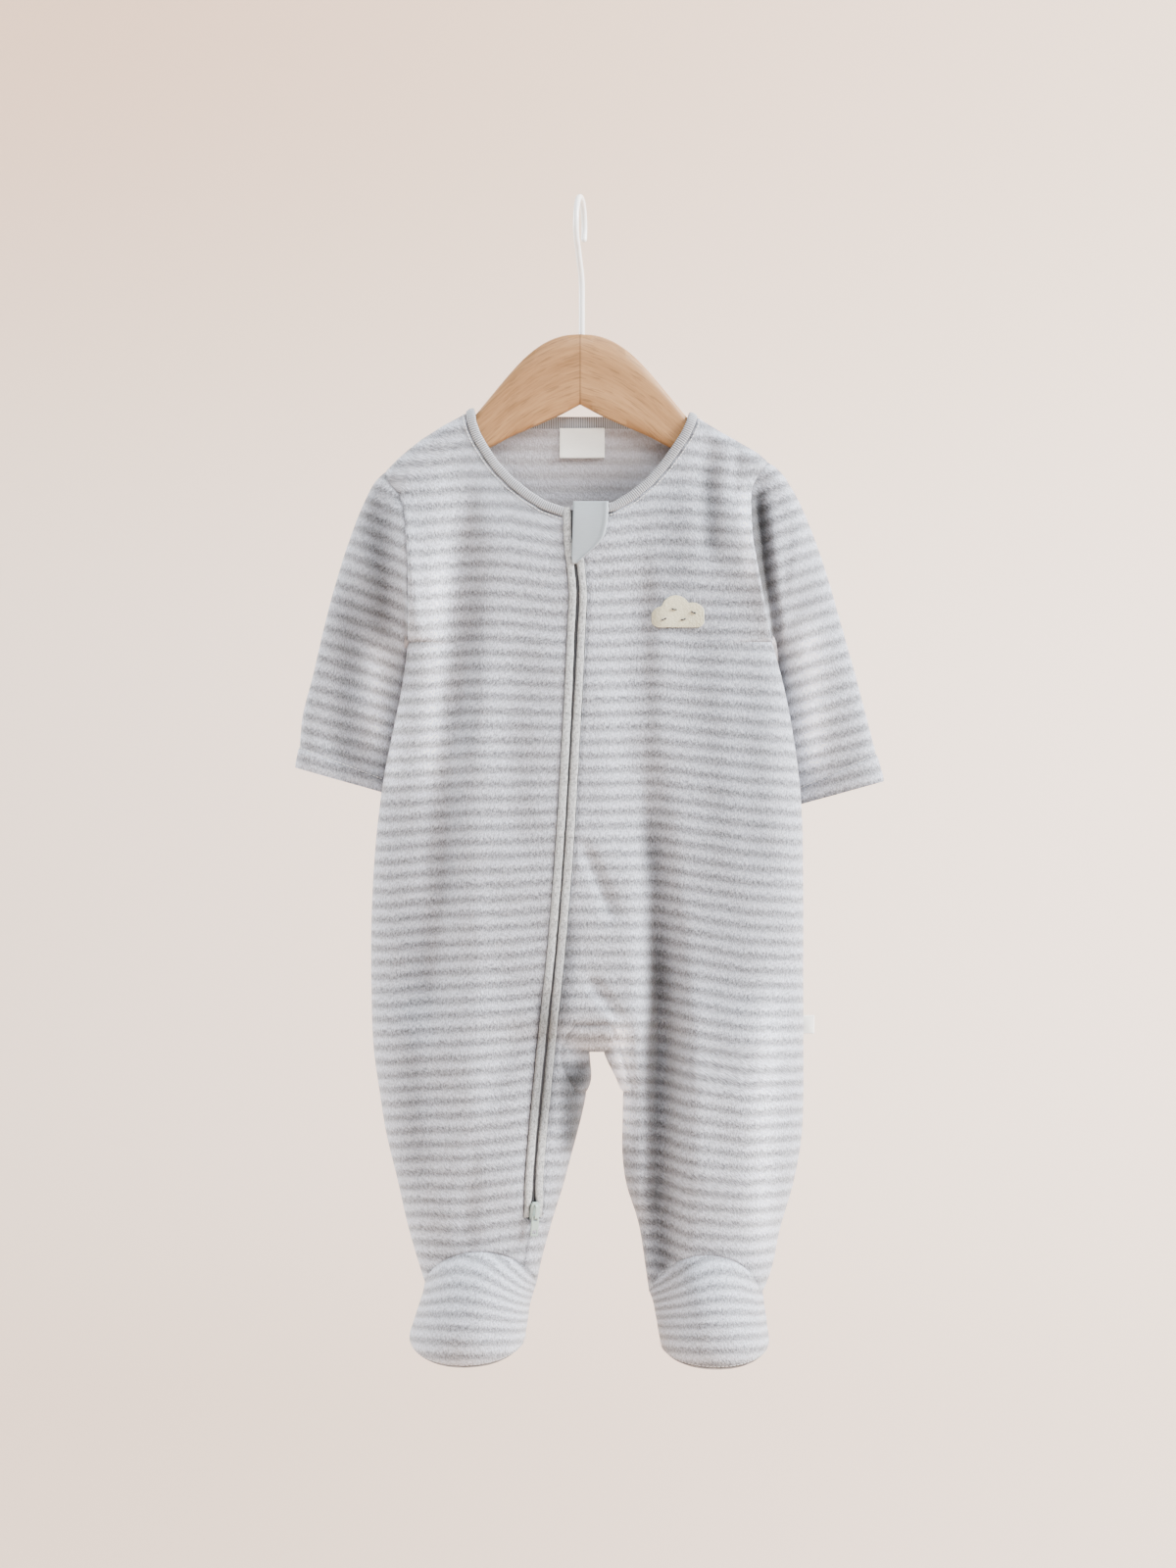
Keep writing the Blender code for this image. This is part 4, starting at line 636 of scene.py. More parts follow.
class Skin:
    """One surface of labelled grids, welded and then cut into walls of cloth."""

    def __init__(self):
        self.points, self.marks, self.quads, self.labels, self.painted_shading = [], [], [], [], []
        self.names = []
        self.count = 0

    def number(self, name):
        if name not in self.names:
            self.names.append(name)
        return self.names.index(name)

    def add(self, points, marks, label, flip=False, painted_shading=0.0):
        """Adds a grid of points in mm with its cloth coordinates, (u, stripe) pairs."""
        rows, columns = points.shape[:2]
        quads = grid_quads(rows, columns) + self.count
        if flip:
            quads = quads[:, ::-1]
        label = np.broadcast_to(label, (rows - 1, columns - 1)).ravel()
        self.points.append(points.reshape(-1, 3))
        self.painted_shading.append(np.broadcast_to(painted_shading, (rows, columns)).ravel())
        self.marks.append(marks.reshape(-1, 2))
        self.quads.append(quads[label >= 0])
        self.labels.append(label[label >= 0])
        self.count += rows * columns

    def weld(self):
        """Joins equal points, and works out every point's outward normal."""
        self.raw = np.concatenate(self.quads)
        self.marks = np.concatenate(self.marks)
        self.labels = np.concatenate(self.labels)
        self.points, inverse = welded(np.concatenate(self.points))
        shades, self.painted_shading = np.concatenate(self.painted_shading), np.zeros(len(self.points))
        self.painted_shading[inverse] = shades
        self.quads = inverse[self.raw]
        a, b, c, d = (self.points[self.quads[:, k]] for k in range(4))
        self.face_normals = np.cross(c - a, d - b)
        normals = np.zeros_like(self.points)
        for k in range(4):
            np.add.at(normals, self.quads[:, k], self.face_normals)
        self.normals = unit(normals)
        count = len(self.points)
        first, last = directed_edges(self.quads)
        back = np.isin(last * count + first, first * count + last)
        self.free = np.zeros(count, bool)
        free = ~back & (first != last)
        self.free[first[free]] = True
        self.free[last[free]] = True

    def cut(self, name, thick=FLEECE):
        """The closed wall of one label: outer faces, inner faces and turned edges.

        Its edge is pulled half the seam's gap into the panel. Towards a seam the outer
        face sinks by a bell of its distance along the mesh, and at a free edge it
        rounds off. The wall's inner face lies one thickness below the outer one. Shade
        is painted dark along a seam's groove, and elsewhere as the painted shading lines say.
        """
        chosen = self.labels == self.names.index(name)
        quads, raw, turns = self.quads[chosen], self.raw[chosen], self.face_normals[chosen]
        used, local = np.unique(quads, return_inverse=True)
        local = local.reshape(quads.shape)
        points, normals = self.points[used], self.normals[used]
        count = len(used)
        first, last = directed_edges(local)
        corner = np.concatenate([raw[:, k] for k in range(4)])
        corner_last = np.concatenate([raw[:, (k + 1) % 4] for k in range(4)])
        rim = ~np.isin(last * count + first, first * count + last) & (first != last)
        a, b = first[rim], last[rim]
        inward = unit(np.cross(unit(np.tile(turns, (4, 1))[rim]), points[b] - points[a]))
        pull = np.zeros_like(points)
        np.add.at(pull, a, inward)
        np.add.at(pull, b, inward)
        strength = np.linalg.norm(pull, axis=1, keepdims=True)
        sharp = np.clip(strength / 2, 0.45, 1.0)
        shift = np.where(strength > 1e-6, unit(pull) * SEAM_GAP / 2 / sharp, 0.0)
        near = np.full(count, 99.0)
        near[a] = near[b] = 0.0
        spans = np.linalg.norm(points[last] - points[first], axis=1)
        for _ in range(5):
            np.minimum.at(near, last, near[first] + spans)
            np.minimum.at(near, first, near[last] + spans)
        edge = self.free[used]
        wave = 1 + 0.35 * np.sin(points[:, 2] * 1.1 + points[:, 0] * 0.7)
        low = np.where(np.abs(points[:, 2] - ANKLE) < 20.0, 0.2, 0.6)
        sink = np.where(edge, 0.45, low * wave) * np.exp(-((near / 1.7) ** 2))
        sink = sink - (0.9 * (1 - np.exp(-((near / 2.5) ** 2))) if name == "gusset" else 0.0)
        outer = points + shift - normals * sink[:, None]
        inner = points + shift - normals * thick
        rims = np.stack([b, a, a + count, b + count], axis=1)
        rim_marks = np.stack([corner_last[rim], corner[rim], corner[rim], corner_last[rim]], 1)
        faces = np.concatenate([local, local[:, ::-1] + count, rims])
        marks = self.marks[np.concatenate([raw, raw[:, ::-1], rim_marks])]
        # Painted shade along the seams' grooves: faint near the ankle, deeper beside the zip,
        # deepest along the soles' seams, and none at a free edge
        zipped = np.abs(points[:, 0] - ZIP.at("across", points[:, 2])) < 8.0
        seam = np.where(edge, 0.0, np.where((low < 0.3) & ~zipped, 0.15, 0.35) + 0.25 * zipped)
        seam = np.where(points[:, 2] < SOLE_SEAM, 1.6, seam)
        seam = seam * np.exp(-((near / 1.1) ** 2))
        inside = np.concatenate([np.zeros(count), np.ones(count)])
        painted_shading = np.concatenate([self.painted_shading[used] + seam, np.zeros(count)])
        return np.concatenate([outer, inner]), faces, marks, np.stack([inside, painted_shading])


def grid_quads(rows, columns):
    """The quads of a grid, each anticlockwise seen with the rows running down."""
    index = np.arange(rows * columns).reshape(rows, columns)
    corners = [index[:-1, :-1], index[1:, :-1], index[1:, 1:], index[:-1, 1:]]
    return np.stack(corners, axis=-1).reshape(-1, 4)


def directed_edges(quads):
    """The first and the last point of every side of every quad."""
    first = np.concatenate([quads[:, k] for k in range(4)])
    last = np.concatenate([quads[:, (k + 1) % 4] for k in range(4)])
    return first, last


def welded(points, tolerance=0.02):
    """The different points to within a tolerance, and which of them each point is."""
    key = np.round(points / tolerance + 0.37).astype(np.int64)
    _, first, inverse = np.unique(key, axis=0, return_index=True, return_inverse=True)
    return points[first], inverse.reshape(-1)


def arc_lengths(points):
    """The length walked along each row of a grid of points, from its first column."""
    steps = np.linalg.norm(np.diff(points, axis=1), axis=2)
    return np.concatenate([np.zeros((len(points), 1)), np.cumsum(steps, axis=1)], axis=1)


# ------------ stripes on the cloth


def body_stripe(side, x, z):
    """The stripe coordinate of the body: height in periods, less the stripes' drop.

    The drop runs straight from one of the table's lines to the next across the width,
    with lines of its own on each side of the zip.
    """
    if side == "back":
        return z / BACK_PERIOD
    parts = []
    for mark, places in (("l", DROP_LEFT), ("r", DROP_RIGHT)):
        levels = [DROP.at(f"{mark}{k}", z) for k in range(len(places))]
        total = levels[0]
        for k, (near, far) in enumerate(zip(places[:-1], places[1:])):
            total = total + (levels[k + 1] - levels[k]) * np.clip((x - near) / (far - near), 0, 1)
        parts.append(total)
    return (z + np.where(x < ZIP.at("across", z), *parts)) / STRIPE_PERIOD


def build_body(skin):
    """Adds the front's and the back's zones, and returns the legs' lower edges."""
    a, b, g, c = front_columns()
    left, middle, right = back_columns()
    heights = np.concatenate([upper_shares() * 0, middle_heights()])
    top, ridge, foot = (
        int(np.argmin(np.abs(heights - z))) for z in (GUSSET_TOP, CROTCH, INNER_TIP)
    )
    feet = {}
    zones = [
        ("front", "left", a, "front_left", None, (True, False)),
        ("front", "left", b, "front_right", "last", (False, True)),
        ("front", "left", g, "front_right", "all", (False, False)),
        ("front", "right", c, "front_right", "first", (True, True)),
        ("back", "left", left, "back", "last", (True, True)),
        ("back", "left", middle, "back", "all", (False, False)),
        ("back", "right", right, "back", "first", (True, True)),
    ]
    for side, leg, columns, name, gusset, edges in zones:
        x, z, cells = zone_grid(side, leg, columns, *edges)
        points = surface(side, x, z)
        u = (x[:, :1] * SIGN[side] + arc_lengths(points)) / STRIPE_PERIOD
        marks = np.stack([u, body_stripe(side, x, z)], axis=-1)
        label = np.full((len(x) - 1, len(cells)), skin.number(name))
        chosen = cells >= cells.max() - 1 if gusset == "last" else cells < 2
        if gusset == "all":
            label[ridge:] = -1
            label[top:ridge] = skin.number("gusset")
        elif gusset:
            label[top:foot, chosen] = skin.number("gusset")
        skin.add(points, marks, label, side == "back", bells(PAINTED_SHADING_LINES[side], x, z))
        if gusset != "all":
            feet.setdefault((side, leg), []).append(points[-1])
    rows = {place: without_repeats(np.concatenate(parts)) for place, parts in feet.items()}
    return {leg: (rows["front", leg], rows["back", leg][-2:0:-1]) for leg in ("left", "right")}


def without_repeats(points):
    """A row of points without those that repeat the point before them."""
    moved = np.abs(np.diff(points, axis=0)).max(axis=1) > 1e-4
    return points[np.concatenate([[True], moved])]


def armhole(side, name):
    """The body's edge down one side of an armhole, from the shoulder tip."""
    column = right_shoulder()[-1] if name == "right" else left_shoulder()[0]
    z = column.top[1] + (UNDERARM - column.top[1]) * upper_shares()
    x = column.across_at(z, upper_shares())
    return surface(side, x, z)


def sleeve_stations():
    """Shares along the sleeve, drawn together where the hem steps out."""
    return np.concatenate([np.linspace(0, 0.915, 76), [0.92, 0.924, 0.928, 0.932, 0.936],
                           np.linspace(0.942, 1, 8)])


def sleeve_frame(name, s):
    """Along a sleeve: its middle, the half width from it to the outer edge, its depth."""
    edges = [np.stack([SLEEVES[name].at(f"{edge}_{axis}", s) for axis in "xyz"], axis=-1)
             for edge in ("outer", "inner")]
    return sum(edges) / 2, (edges[0] - edges[1]) / 2, SLEEVES[name].at("depth", s)


def build_sleeve(skin, name):
    """Adds one sleeve: ellipses across it from the armhole's own outline to the hem."""
    front, back = armhole("front", name), armhole("back", name)
    hole = np.concatenate([front, back[-2:0:-1], front[:1]])
    turn = np.pi * upper_shares() ** 0.5
    angles = np.concatenate([turn, 2 * np.pi - turn[-2:0:-1], [2 * np.pi]])
    s = sleeve_stations()
    centre, arm, deep = sleeve_frame(name, s)
    raised = HEM_RAISE * smooth((s - HEM_STEP) / 0.012)
    stitched = 0.5 * np.exp(-(((s - HEM_GROOVE) / 0.004) ** 2))
    half = np.linalg.norm(arm, axis=1)
    grow = 1 + (raised - stitched) / half
    depth = deep + raised - stitched
    rings = (
        centre[:, None]
        + np.cos(angles)[:, None] * (arm * grow[:, None])[:, None]
        + np.sin(angles)[:, None] * np.outer(depth, [0, -1, 0])[:, None]
    )
    rings += (hole - rings[0]) * (1 - smooth(s / 0.22))[:, None, None]
    x, z = rings[..., 0], rings[..., 2]
    dent = bells(SLEEVE_CREASES[name], x, z, 0.3) + lumps(x + 31.0, z) * 0.8
    dent = dent * powered(np.sin(angles), 0.6)
    rings[..., 1] += dent * smooth(s / 0.025)[:, None]
    sign = -1 if name == "left" else 1
    slope = SLEEVE_SLOPE.at(name, s)[:, None]
    stripe = z + sign * (x - rings[0, 0, 0]) * -slope + SLEEVE_DROP.at(name, z)
    u = arc_lengths(rings) / SLEEVE_PERIOD
    marks = np.stack([u, stripe / SLEEVE_PERIOD], axis=-1)
    skin.add(rings, marks, skin.number(f"sleeve_{name}"), name == "right",
             bells(PAINTED_SHADING_LINES[name], x, z))


def spaced(points):
    """Shares of the length along a row of points, from 0 to 1."""
    reach = reach_along(points)
    return reach / reach[-1]


def build_foot(skin, leg, front, back):
    """Adds one foot: cubic curves from the ankle's seam to the sole's, then the sole."""
    foot = FEET[leg]
    heel, toe = np.array(foot["heel"]), np.array(foot["toe"])
    length = toe - heel
    out = np.array([0.0, length[2], -length[1]])
    up = out / np.linalg.norm(out) * np.sign(out[2])
    ankle = np.concatenate([front, back, front[:1]])
    behind = np.pi / 2 + np.pi * spaced(np.concatenate([front[-1:], back, front[:1]]))
    turns = np.concatenate([-np.pi / 2 + np.pi * spaced(front), behind[1:]])
    narrow = (foot["half_heel"] - foot["half_toe"]) * np.abs(np.cos(turns))
    half = foot["half_toe"] + np.where(np.cos(turns) > 0, 0.0, narrow)
    middle = heel + length * 0.5
    reach = powered(np.cos(turns), 1.04)
    wide = half * powered(np.sin(turns), 0.98)
    sole = middle + np.outer(reach, length / 2) + np.outer(wide, (1, 0, 0))
    outward = unit(sole - middle)
    forward = np.clip(np.cos(turns), 0, 1)[:, None]
    leave = np.array([0.0, 0.0, -1.0]) + forward * np.array([0.0, -0.75, 0.45])
    span = np.linalg.norm(sole - ankle, axis=1)[:, None]
    second = ankle + leave * span * (0.30 + 0.15 * forward)
    third = sole + up * (7.0 + 9.0 * forward) + outward * (3.0 + 2.5 * forward)
    inner = np.array([-1.0, 0.0, 0.0]) * (1 if leg == "left" else -1)
    pinch = np.clip(-inner[0] * np.sin(turns), 0, 1)[:, None] ** 2 * inner * 5.0
    second, third = second + pinch, third + pinch * 0.4
    t = np.linspace(0, 1, 34)[:, None, None]
    rings = (1 - t) ** 3 * ankle + 3 * (1 - t) ** 2 * t * second
    rings = rings + 3 * (1 - t) * t * t * third + t**3 * sole
    bulge = 4 * t[..., 0] * (1 - t[..., 0])
    rings = rings + outward * (lumps(rings[..., 0] * 1.6, rings[..., 2] * 1.6) * bulge)[..., None]
    x, z = rings[..., 0], rings[..., 2]
    tilt = FOOT_STRIPES[leg]
    off = x - middle[0]
    fade = smooth((z + 712.0) / 60.0)
    drop = tilt["high"] + (tilt["low"] - tilt["high"]) * smooth((-655.0 - z) / 50.0)
    stripe = (z + drop + fade * (tilt["tilt"] + tilt["arch"] * fade * off) * off) / FOOT_PERIOD
    u = arc_lengths(rings) / FOOT_PERIOD
    label = np.full((len(rings) - 1, len(ankle) - 1), skin.number(f"heel_{leg}"))
    label[:, : len(front) - 1] = skin.number(f"foot_upper_{leg}")
    skin.add(rings, np.stack([u, stripe], axis=-1), label)
    rim = rings[-1]
    share = np.linspace(1, 0, 16)[:, None, None]
    under = middle + (rim - middle) * share - up * 4.4 * np.sqrt(1 - share**2.2)
    marks = np.stack([under[..., 0], under[..., 1]], axis=-1) / FOOT_PERIOD
    skin.add(under, marks, skin.number(f"sole_{leg}"))


def garment_skin():
    """The whole welded skin, worked out once and kept for the other operators."""
    if "skin" not in KEPT:
        skin = Skin()
        edges = build_body(skin)
        for name in ("left", "right"):
            build_sleeve(skin, name)
        for leg, (front, back) in edges.items():
            build_foot(skin, leg, front, back)
        skin.weld()
        KEPT["skin"] = skin
    return KEPT["skin"]


# ------------ meshes


def corner_loops(quads):
    """Quads as polygon corners, leaving out a corner that repeats the one before it."""
    keep = quads != np.roll(quads, 1, axis=1)
    totals = keep.sum(axis=1)
    keep[totals < 3] = False
    return quads[keep], keep, totals[totals >= 3]


def make_piece(name, points, quads, material, marks=None, shades=None):
    """A mesh object from points in mm; marks are (u, stripe) pairs, one per corner.

    The shades are two numbers a point: whether it is inside, and how dark its painted shading is.
    """
    place, inverse = welded(points, 0.004)
    corners, keep, totals = corner_loops(inverse[quads])
    mesh = bpy.data.meshes.new(name)
    mesh.vertices.add(len(place))
    mesh.vertices.foreach_set("co", (place * MM).ravel())
    mesh.loops.add(len(corners))
    mesh.loops.foreach_set("vertex_index", corners.astype(np.int32))
    mesh.polygons.add(len(totals))
    starts = np.concatenate([[0], np.cumsum(totals)[:-1]])
    mesh.polygons.foreach_set("loop_start", starts.astype(np.int32))
    mesh.update(calc_edges=True)
    if marks is not None:
        layer = mesh.uv_layers.new(name="cloth")
        layer.data.foreach_set("uv", marks[keep].astype(np.float32).ravel())
    for label, values in zip(("inside", "painted_shading"), () if shades is None else shades):
        kept = np.zeros(len(place), np.float32)
        kept[inverse] = values
        mesh.attributes.new(label, "FLOAT", "POINT").data.foreach_set("value", kept)
    mesh.validate()
    mesh.shade_smooth()
    mesh.set_sharp_from_angle(angle=math.radians(60))
    mesh.materials.append(material)
    piece = bpy.data.objects.new(name, mesh)
    bpy.context.scene.collection.objects.link(piece)
    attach(piece, CLOTH_BODY)
    return piece


def outward(mesh):
    """Turns a closed mesh's faces so that they all point out."""
    shape = bmesh.new()
    shape.from_mesh(mesh)
    bmesh.ops.recalc_face_normals(shape, faces=shape.faces)
    shape.to_mesh(mesh)
    shape.free()


def tube_faces(stations, around):
    """Quads of a closed tube whose rings are rows of a grid, with no repeated column."""
    index = np.arange(stations * around).reshape(stations, around)
    right = np.roll(index, -1, axis=1)
    corners = [index[:-1], right[:-1], right[1:], index[1:]]
    return np.stack(corners, axis=-1).reshape(-1, 4)


def capped(rings):
    """Rings of a tube with one more at each end, drawn in to the ring's middle."""
    ends = [np.repeat(ring.mean(axis=1, keepdims=True), rings.shape[1], axis=1)
            for ring in (rings[:1], rings[-1:])]
    return np.concatenate([ends[0], rings, ends[1]])


def tube_piece(name, rings, material, marks=None, painted_shading=None):
    """A closed tube piece from a grid of rings in mm, with marks on the same grid."""
    quads = tube_faces(rings.shape[0] + 2, rings.shape[1])
    shades = None
    if marks is not None:
        marks = np.concatenate([marks[:1], marks, marks[-1:]]).reshape(-1, 2)[quads]
    if painted_shading is not None:
        painted_shading = np.concatenate([painted_shading[:1], painted_shading, painted_shading[-1:]]).ravel()
        shades = np.stack([painted_shading * 0, painted_shading])
    points = capped(rings).reshape(-1, 3)
    piece = make_piece(name, points, quads, material, marks, shades)
    outward(piece.data)
    return piece


def plate_piece(name, top, under, marks, material):
    """A closed plate between two equal grids of points, joined along their rims."""
    count = top[..., 0].size
    face = grid_quads(*top.shape[:2])
    index = np.arange(count).reshape(top.shape[:2])
    rim = np.concatenate([index[:, 0], index[-1, 1:], index[-2::-1, -1], index[0, -2:0:-1]])
    after = np.roll(rim, -1)
    wall = np.stack([after, rim, rim + count, after + count], axis=-1)
    quads = np.concatenate([face, face[:, ::-1] + count, wall])
    marks = np.concatenate([marks, marks]).reshape(-1, 2)[quads]
    points = np.concatenate([top, under]).reshape(-1, 3)
    piece = make_piece(name, points, quads, material, marks)
    outward(piece.data)
    return piece


def even_path(points, normals, step):
    """A 3-D path and its normals taken again at equal steps of its length."""
    reach = reach_along(points)
    count = max(2, int(round(reach[-1] / step)) + 1)
    at = np.linspace(0, reach[-1], count)
    return between(at, reach, points), unit(between(at, reach, normals)), at


def softened(values, passes):
    """Rows averaged with their neighbours a number of times; the two ends stay."""
    values = values.copy()
    for _ in range(passes):
        values[1:-1] = (values[:-2] + 2 * values[1:-1] + values[2:]) / 4
    return values


def stitch_row(name, path, normals, material, slot, pitch, length, radius, sink=0.3):
    """A row of stitches: a slim ellipsoid along the path at every pitch.

    A point is the stitch's middle plus its direction times half its length times the
    cosine, plus its side and its normal times its radius times the sine.
    """
    reach = reach_along(path)
    middles = np.arange(pitch / 2, reach[-1], pitch)
    centre, facing = between(middles, reach, path), between(middles, reach, normals)
    along = unit(between(middles + length / 2, reach, path)
                 - between(middles - length / 2, reach, path))
    beside = unit(np.cross(along, facing))
    facing = unit(np.cross(beside, along))
    theta = np.linspace(0, np.pi, 6)
    phi = np.linspace(0, 2 * np.pi, 7)[:-1]
    rise = np.cos(theta) * length / 2
    wide = np.sin(theta) ** 0.7 * radius
    points = (
        centre[:, None, None]
        + rise[:, None, None] * along[:, None, None]
        + (wide[:, None] * np.cos(phi))[..., None] * beside[:, None, None]
        + (wide[:, None] * np.sin(phi) + radius * sink)[..., None] * facing[:, None, None]
    )
    one = tube_faces(6, 6)
    quads = (one[None] + np.arange(len(middles))[:, None, None] * 36).reshape(-1, 4)
    marks = [np.broadcast_to(m, points.shape[:3]) for m in (np.cos(theta)[:, None], phi)]
    marks = np.stack(marks, axis=-1).reshape(-1, 2)[quads]
    piece = make_piece(name, points.reshape(-1, 3), quads, material, marks)
    outward(piece.data)
    return piece


# ------------ materials


class Graph:
    """A material's nodes; each call adds one node and returns its output socket."""

    def __init__(self, name, **sockets):
        self.material = bpy.data.materials.new(name)
        self.material.use_nodes = True
        self.tree = self.material.node_tree
        self.shader = self.tree.nodes["Principled BSDF"]
        for socket, value in sockets.items():
            self.shader.inputs[socket.replace("_", " ")].default_value = value

    def add(self, kind, inputs=(), out=0, **settings):
        """One node with its settings; an input is a socket to link, or a value."""
        made = self.tree.nodes.new(kind)
        for key, value in settings.items():
            setattr(made, key, value)
        for key, value in dict(inputs).items():
            if isinstance(value, bpy.types.NodeSocket):
                self.tree.links.new(value, made.inputs[key])
            else:
                made.inputs[key].default_value = value
        return made.outputs[out]

    def math(self, operation, *values):
        return self.add("ShaderNodeMath", enumerate(values), operation=operation)

    def times(self, first, last):
        return self.math("MULTIPLY", first, last)

    def plus(self, first, last):
        return self.math("ADD", first, last)

    def cloth(self):
        """The cloth's own coordinates: u across and the stripe coordinate along it."""
        return self.add("ShaderNodeUVMap", uv_map="cloth")

    def place(self):
        return self.add("ShaderNodeTexCoord", out="Object")

    def part(self, vector, axis):
        """One number of a vector, by its axis from 0 to 2."""
        return self.add("ShaderNodeSeparateXYZ", {0: vector}, out=axis)

    def stored(self, name):
        """A number that each of the mesh's points carries."""
        return self.add("ShaderNodeAttribute", out="Fac", attribute_name=name)

    def noise(self, vector, scale=1.0, detail=2.0, rough=0.5):
        inputs = {"Vector": vector, "Scale": scale, "Detail": detail, "Roughness": rough}
        return self.add("ShaderNodeTexNoise", inputs)

    def grain(self, vector, across, down, detail=2.0, rough=0.5, turn=0.0):
        """Noise with its own scale across and down, turned a little where asked."""
        inputs = {"Vector": vector, "Scale": (across, down, 1.0), "Rotation": (0, 0, turn)}
        return self.noise(self.add("ShaderNodeMapping", inputs), 1.0, detail, rough)

    def ramp(self, value, low, high, start=0.0, end=1.0):
        """A smooth step of a value between low and high, from start to end."""
        inputs = {"Value": value, "From Min": low, "From Max": high, "To Min": start,
                  "To Max": end}
        return self.add("ShaderNodeMapRange", inputs, interpolation_type="SMOOTHSTEP")

    def mix(self, share, first, last, blend="MIX"):
        """Mixes two colours, each a socket or three numbers."""
        first, last = (c if isinstance(c, bpy.types.NodeSocket) else (*c, 1.0)
                       for c in (first, last))
        inputs = {0: share, 6: first, 7: last}
        return self.add("ShaderNodeMix", inputs, out=2, data_type="RGBA", blend_type=blend)

    def shaded(self, colour, shade):
        """A colour times a number."""
        grey = self.add("ShaderNodeCombineColor", {0: shade, 1: shade, 2: shade})
        return self.mix(1.0, colour, grey, "MULTIPLY")

    def bump(self, height, strength, distance, normal=None):
        inputs = {"Height": height, "Strength": strength, "Distance": distance * MM}
        if normal is not None:
            inputs["Normal"] = normal
        return self.add("ShaderNodeBump", inputs)

    def link(self, socket, value):
        self.tree.links.new(value, self.shader.inputs[socket])

    def finish(self, colour, normal, roughness=None):
        """Links the colour and the normal, and the roughness where it is given."""
        self.link("Base Color", colour)
        self.link("Normal", normal)
        if roughness is not None:
            self.link("Roughness", roughness)
        return self.material


def faded(colour, share):
    """A colour's three numbers times a share."""
    return [c * share for c in colour]


def fleece_material(name, light, dark, tint, contrast=1.0, pile=1.0):
    """Striped fleece: a sine of the stripe coordinate, feathered by upright streaks.

    The streaks are a noise stretched along the pile. They shift the stripe's edge,
    speckle the dark bands, and raise the pile as a bump. The wall's inner face is
    a duller weave of the same stripes.
    """
    g = Graph(name, Roughness=0.92, Sheen_Weight=0.3, Sheen_Roughness=0.55,
              Specular_IOR_Level=0.2)
    cloth = g.cloth()
    streak = g.grain(cloth, 7.4, 3.3, 3.0, 0.7)
    wisp = g.grain(cloth, 15.0, 6.2, 2.0, 0.7)
    drift = g.grain(cloth, 1.1, 0.9)
    feather = g.math("MULTIPLY_ADD", streak, 0.34, -0.17)
    wander = g.math("MULTIPLY_ADD", drift, 0.22, -0.11)
    phase = g.plus(g.plus(g.part(cloth, 1), feather), wander)
    wave = g.math("SINE", g.times(phase, 2 * math.pi))
    band = g.ramp(wave, -1.3, 1.25)
    band = g.math("MULTIPLY_ADD", band, contrast, (1 - contrast) * 0.6)
    speckle = g.ramp(g.math("MULTIPLY_ADD", streak, 0.5, g.times(wisp, 0.5)),
                     0.37, 0.63, 0.50, 1.42)
    amount = g.math("MULTIPLY_ADD", band, -0.45, 1.25)
    shade = g.math("MULTIPLY_ADD", g.math("SUBTRACT", speckle, 1.0), amount, 1.0)
    # Painted shading: each point's stored painted shade darkens the colour, and a negative one
    # paints a highlight
    shade = g.times(shade, g.math("EXPONENT", g.times(g.stored("painted_shading"), -1.0)))
    colour = g.shaded(g.mix(band, dark, light), shade)
    colour = g.mix(g.stored("inside"), colour, g.mix(0.5, colour, tint))
    height = g.plus(g.times(streak, 0.6), g.times(wisp, 0.5))
    normal = g.bump(g.grain(cloth, 3.2, 2.6), 0.5, 1.0)
    return g.finish(colour, g.bump(height, 0.8 * pile, 0.9, normal))


def rib_material(name, colour):
    """Ribbed knit: a wave across the ribs, with painted shade in the grooves, and fine loops."""
    g = Graph(name, Roughness=0.9, Sheen_Weight=0.2, Specular_IOR_Level=0.2)
    cloth = g.cloth()
    rib = g.math("COSINE", g.times(g.part(cloth, 0), 2 * math.pi))
    loops = g.grain(cloth, 3.0, 26.0, 3.0, 0.6)
    groove_shade = g.ramp(rib, -1.0, 0.6, 0.40, 1.06)
    fuzz = g.ramp(loops, 0.3, 0.7, 0.90, 1.06)
    return g.finish(g.shaded(colour, g.times(groove_shade, fuzz)), g.bump(loops, 0.5, 0.3))


def weave_material(name, colour, across, down, rough=0.75, sheen=0.1, depth=0.12, spread=0.1):
    """Plain weave: the product of two waves over the cloth coordinates, with slubs."""
    g = Graph(name, Roughness=rough, Sheen_Weight=sheen, Specular_IOR_Level=0.3)
    cloth = g.cloth()
    warp, weft = (g.math("SINE", g.times(g.times(g.part(cloth, axis), count), 2 * math.pi))
                  for axis, count in enumerate((across, down)))
    height = g.times(warp, weft)
    slub = g.grain(cloth, across * 0.13, down * 0.8, 3.0, 0.6)
    shade = g.ramp(g.plus(g.times(height, 0.25), slub), 0.1, 0.9, 1 - spread, 1 + spread * 0.6)
    return g.finish(g.shaded(colour, shade), g.bump(g.plus(height, slub), 0.5, depth))


def thread_material(name, colour):
    """Spun thread: a slanting wave round and along each stitch."""
    g = Graph(name, Roughness=0.7, Sheen_Weight=0.15)
    cloth = g.cloth()
    slant = g.plus(g.times(g.part(cloth, 0), 9.0), g.times(g.part(cloth, 1), 2.0))
    twist = g.math("SINE", slant)
    shade = g.ramp(twist, -1.0, 1.0, 0.86, 1.04)
    return g.finish(g.shaded(colour, shade), g.bump(twist, 0.4, 0.05))


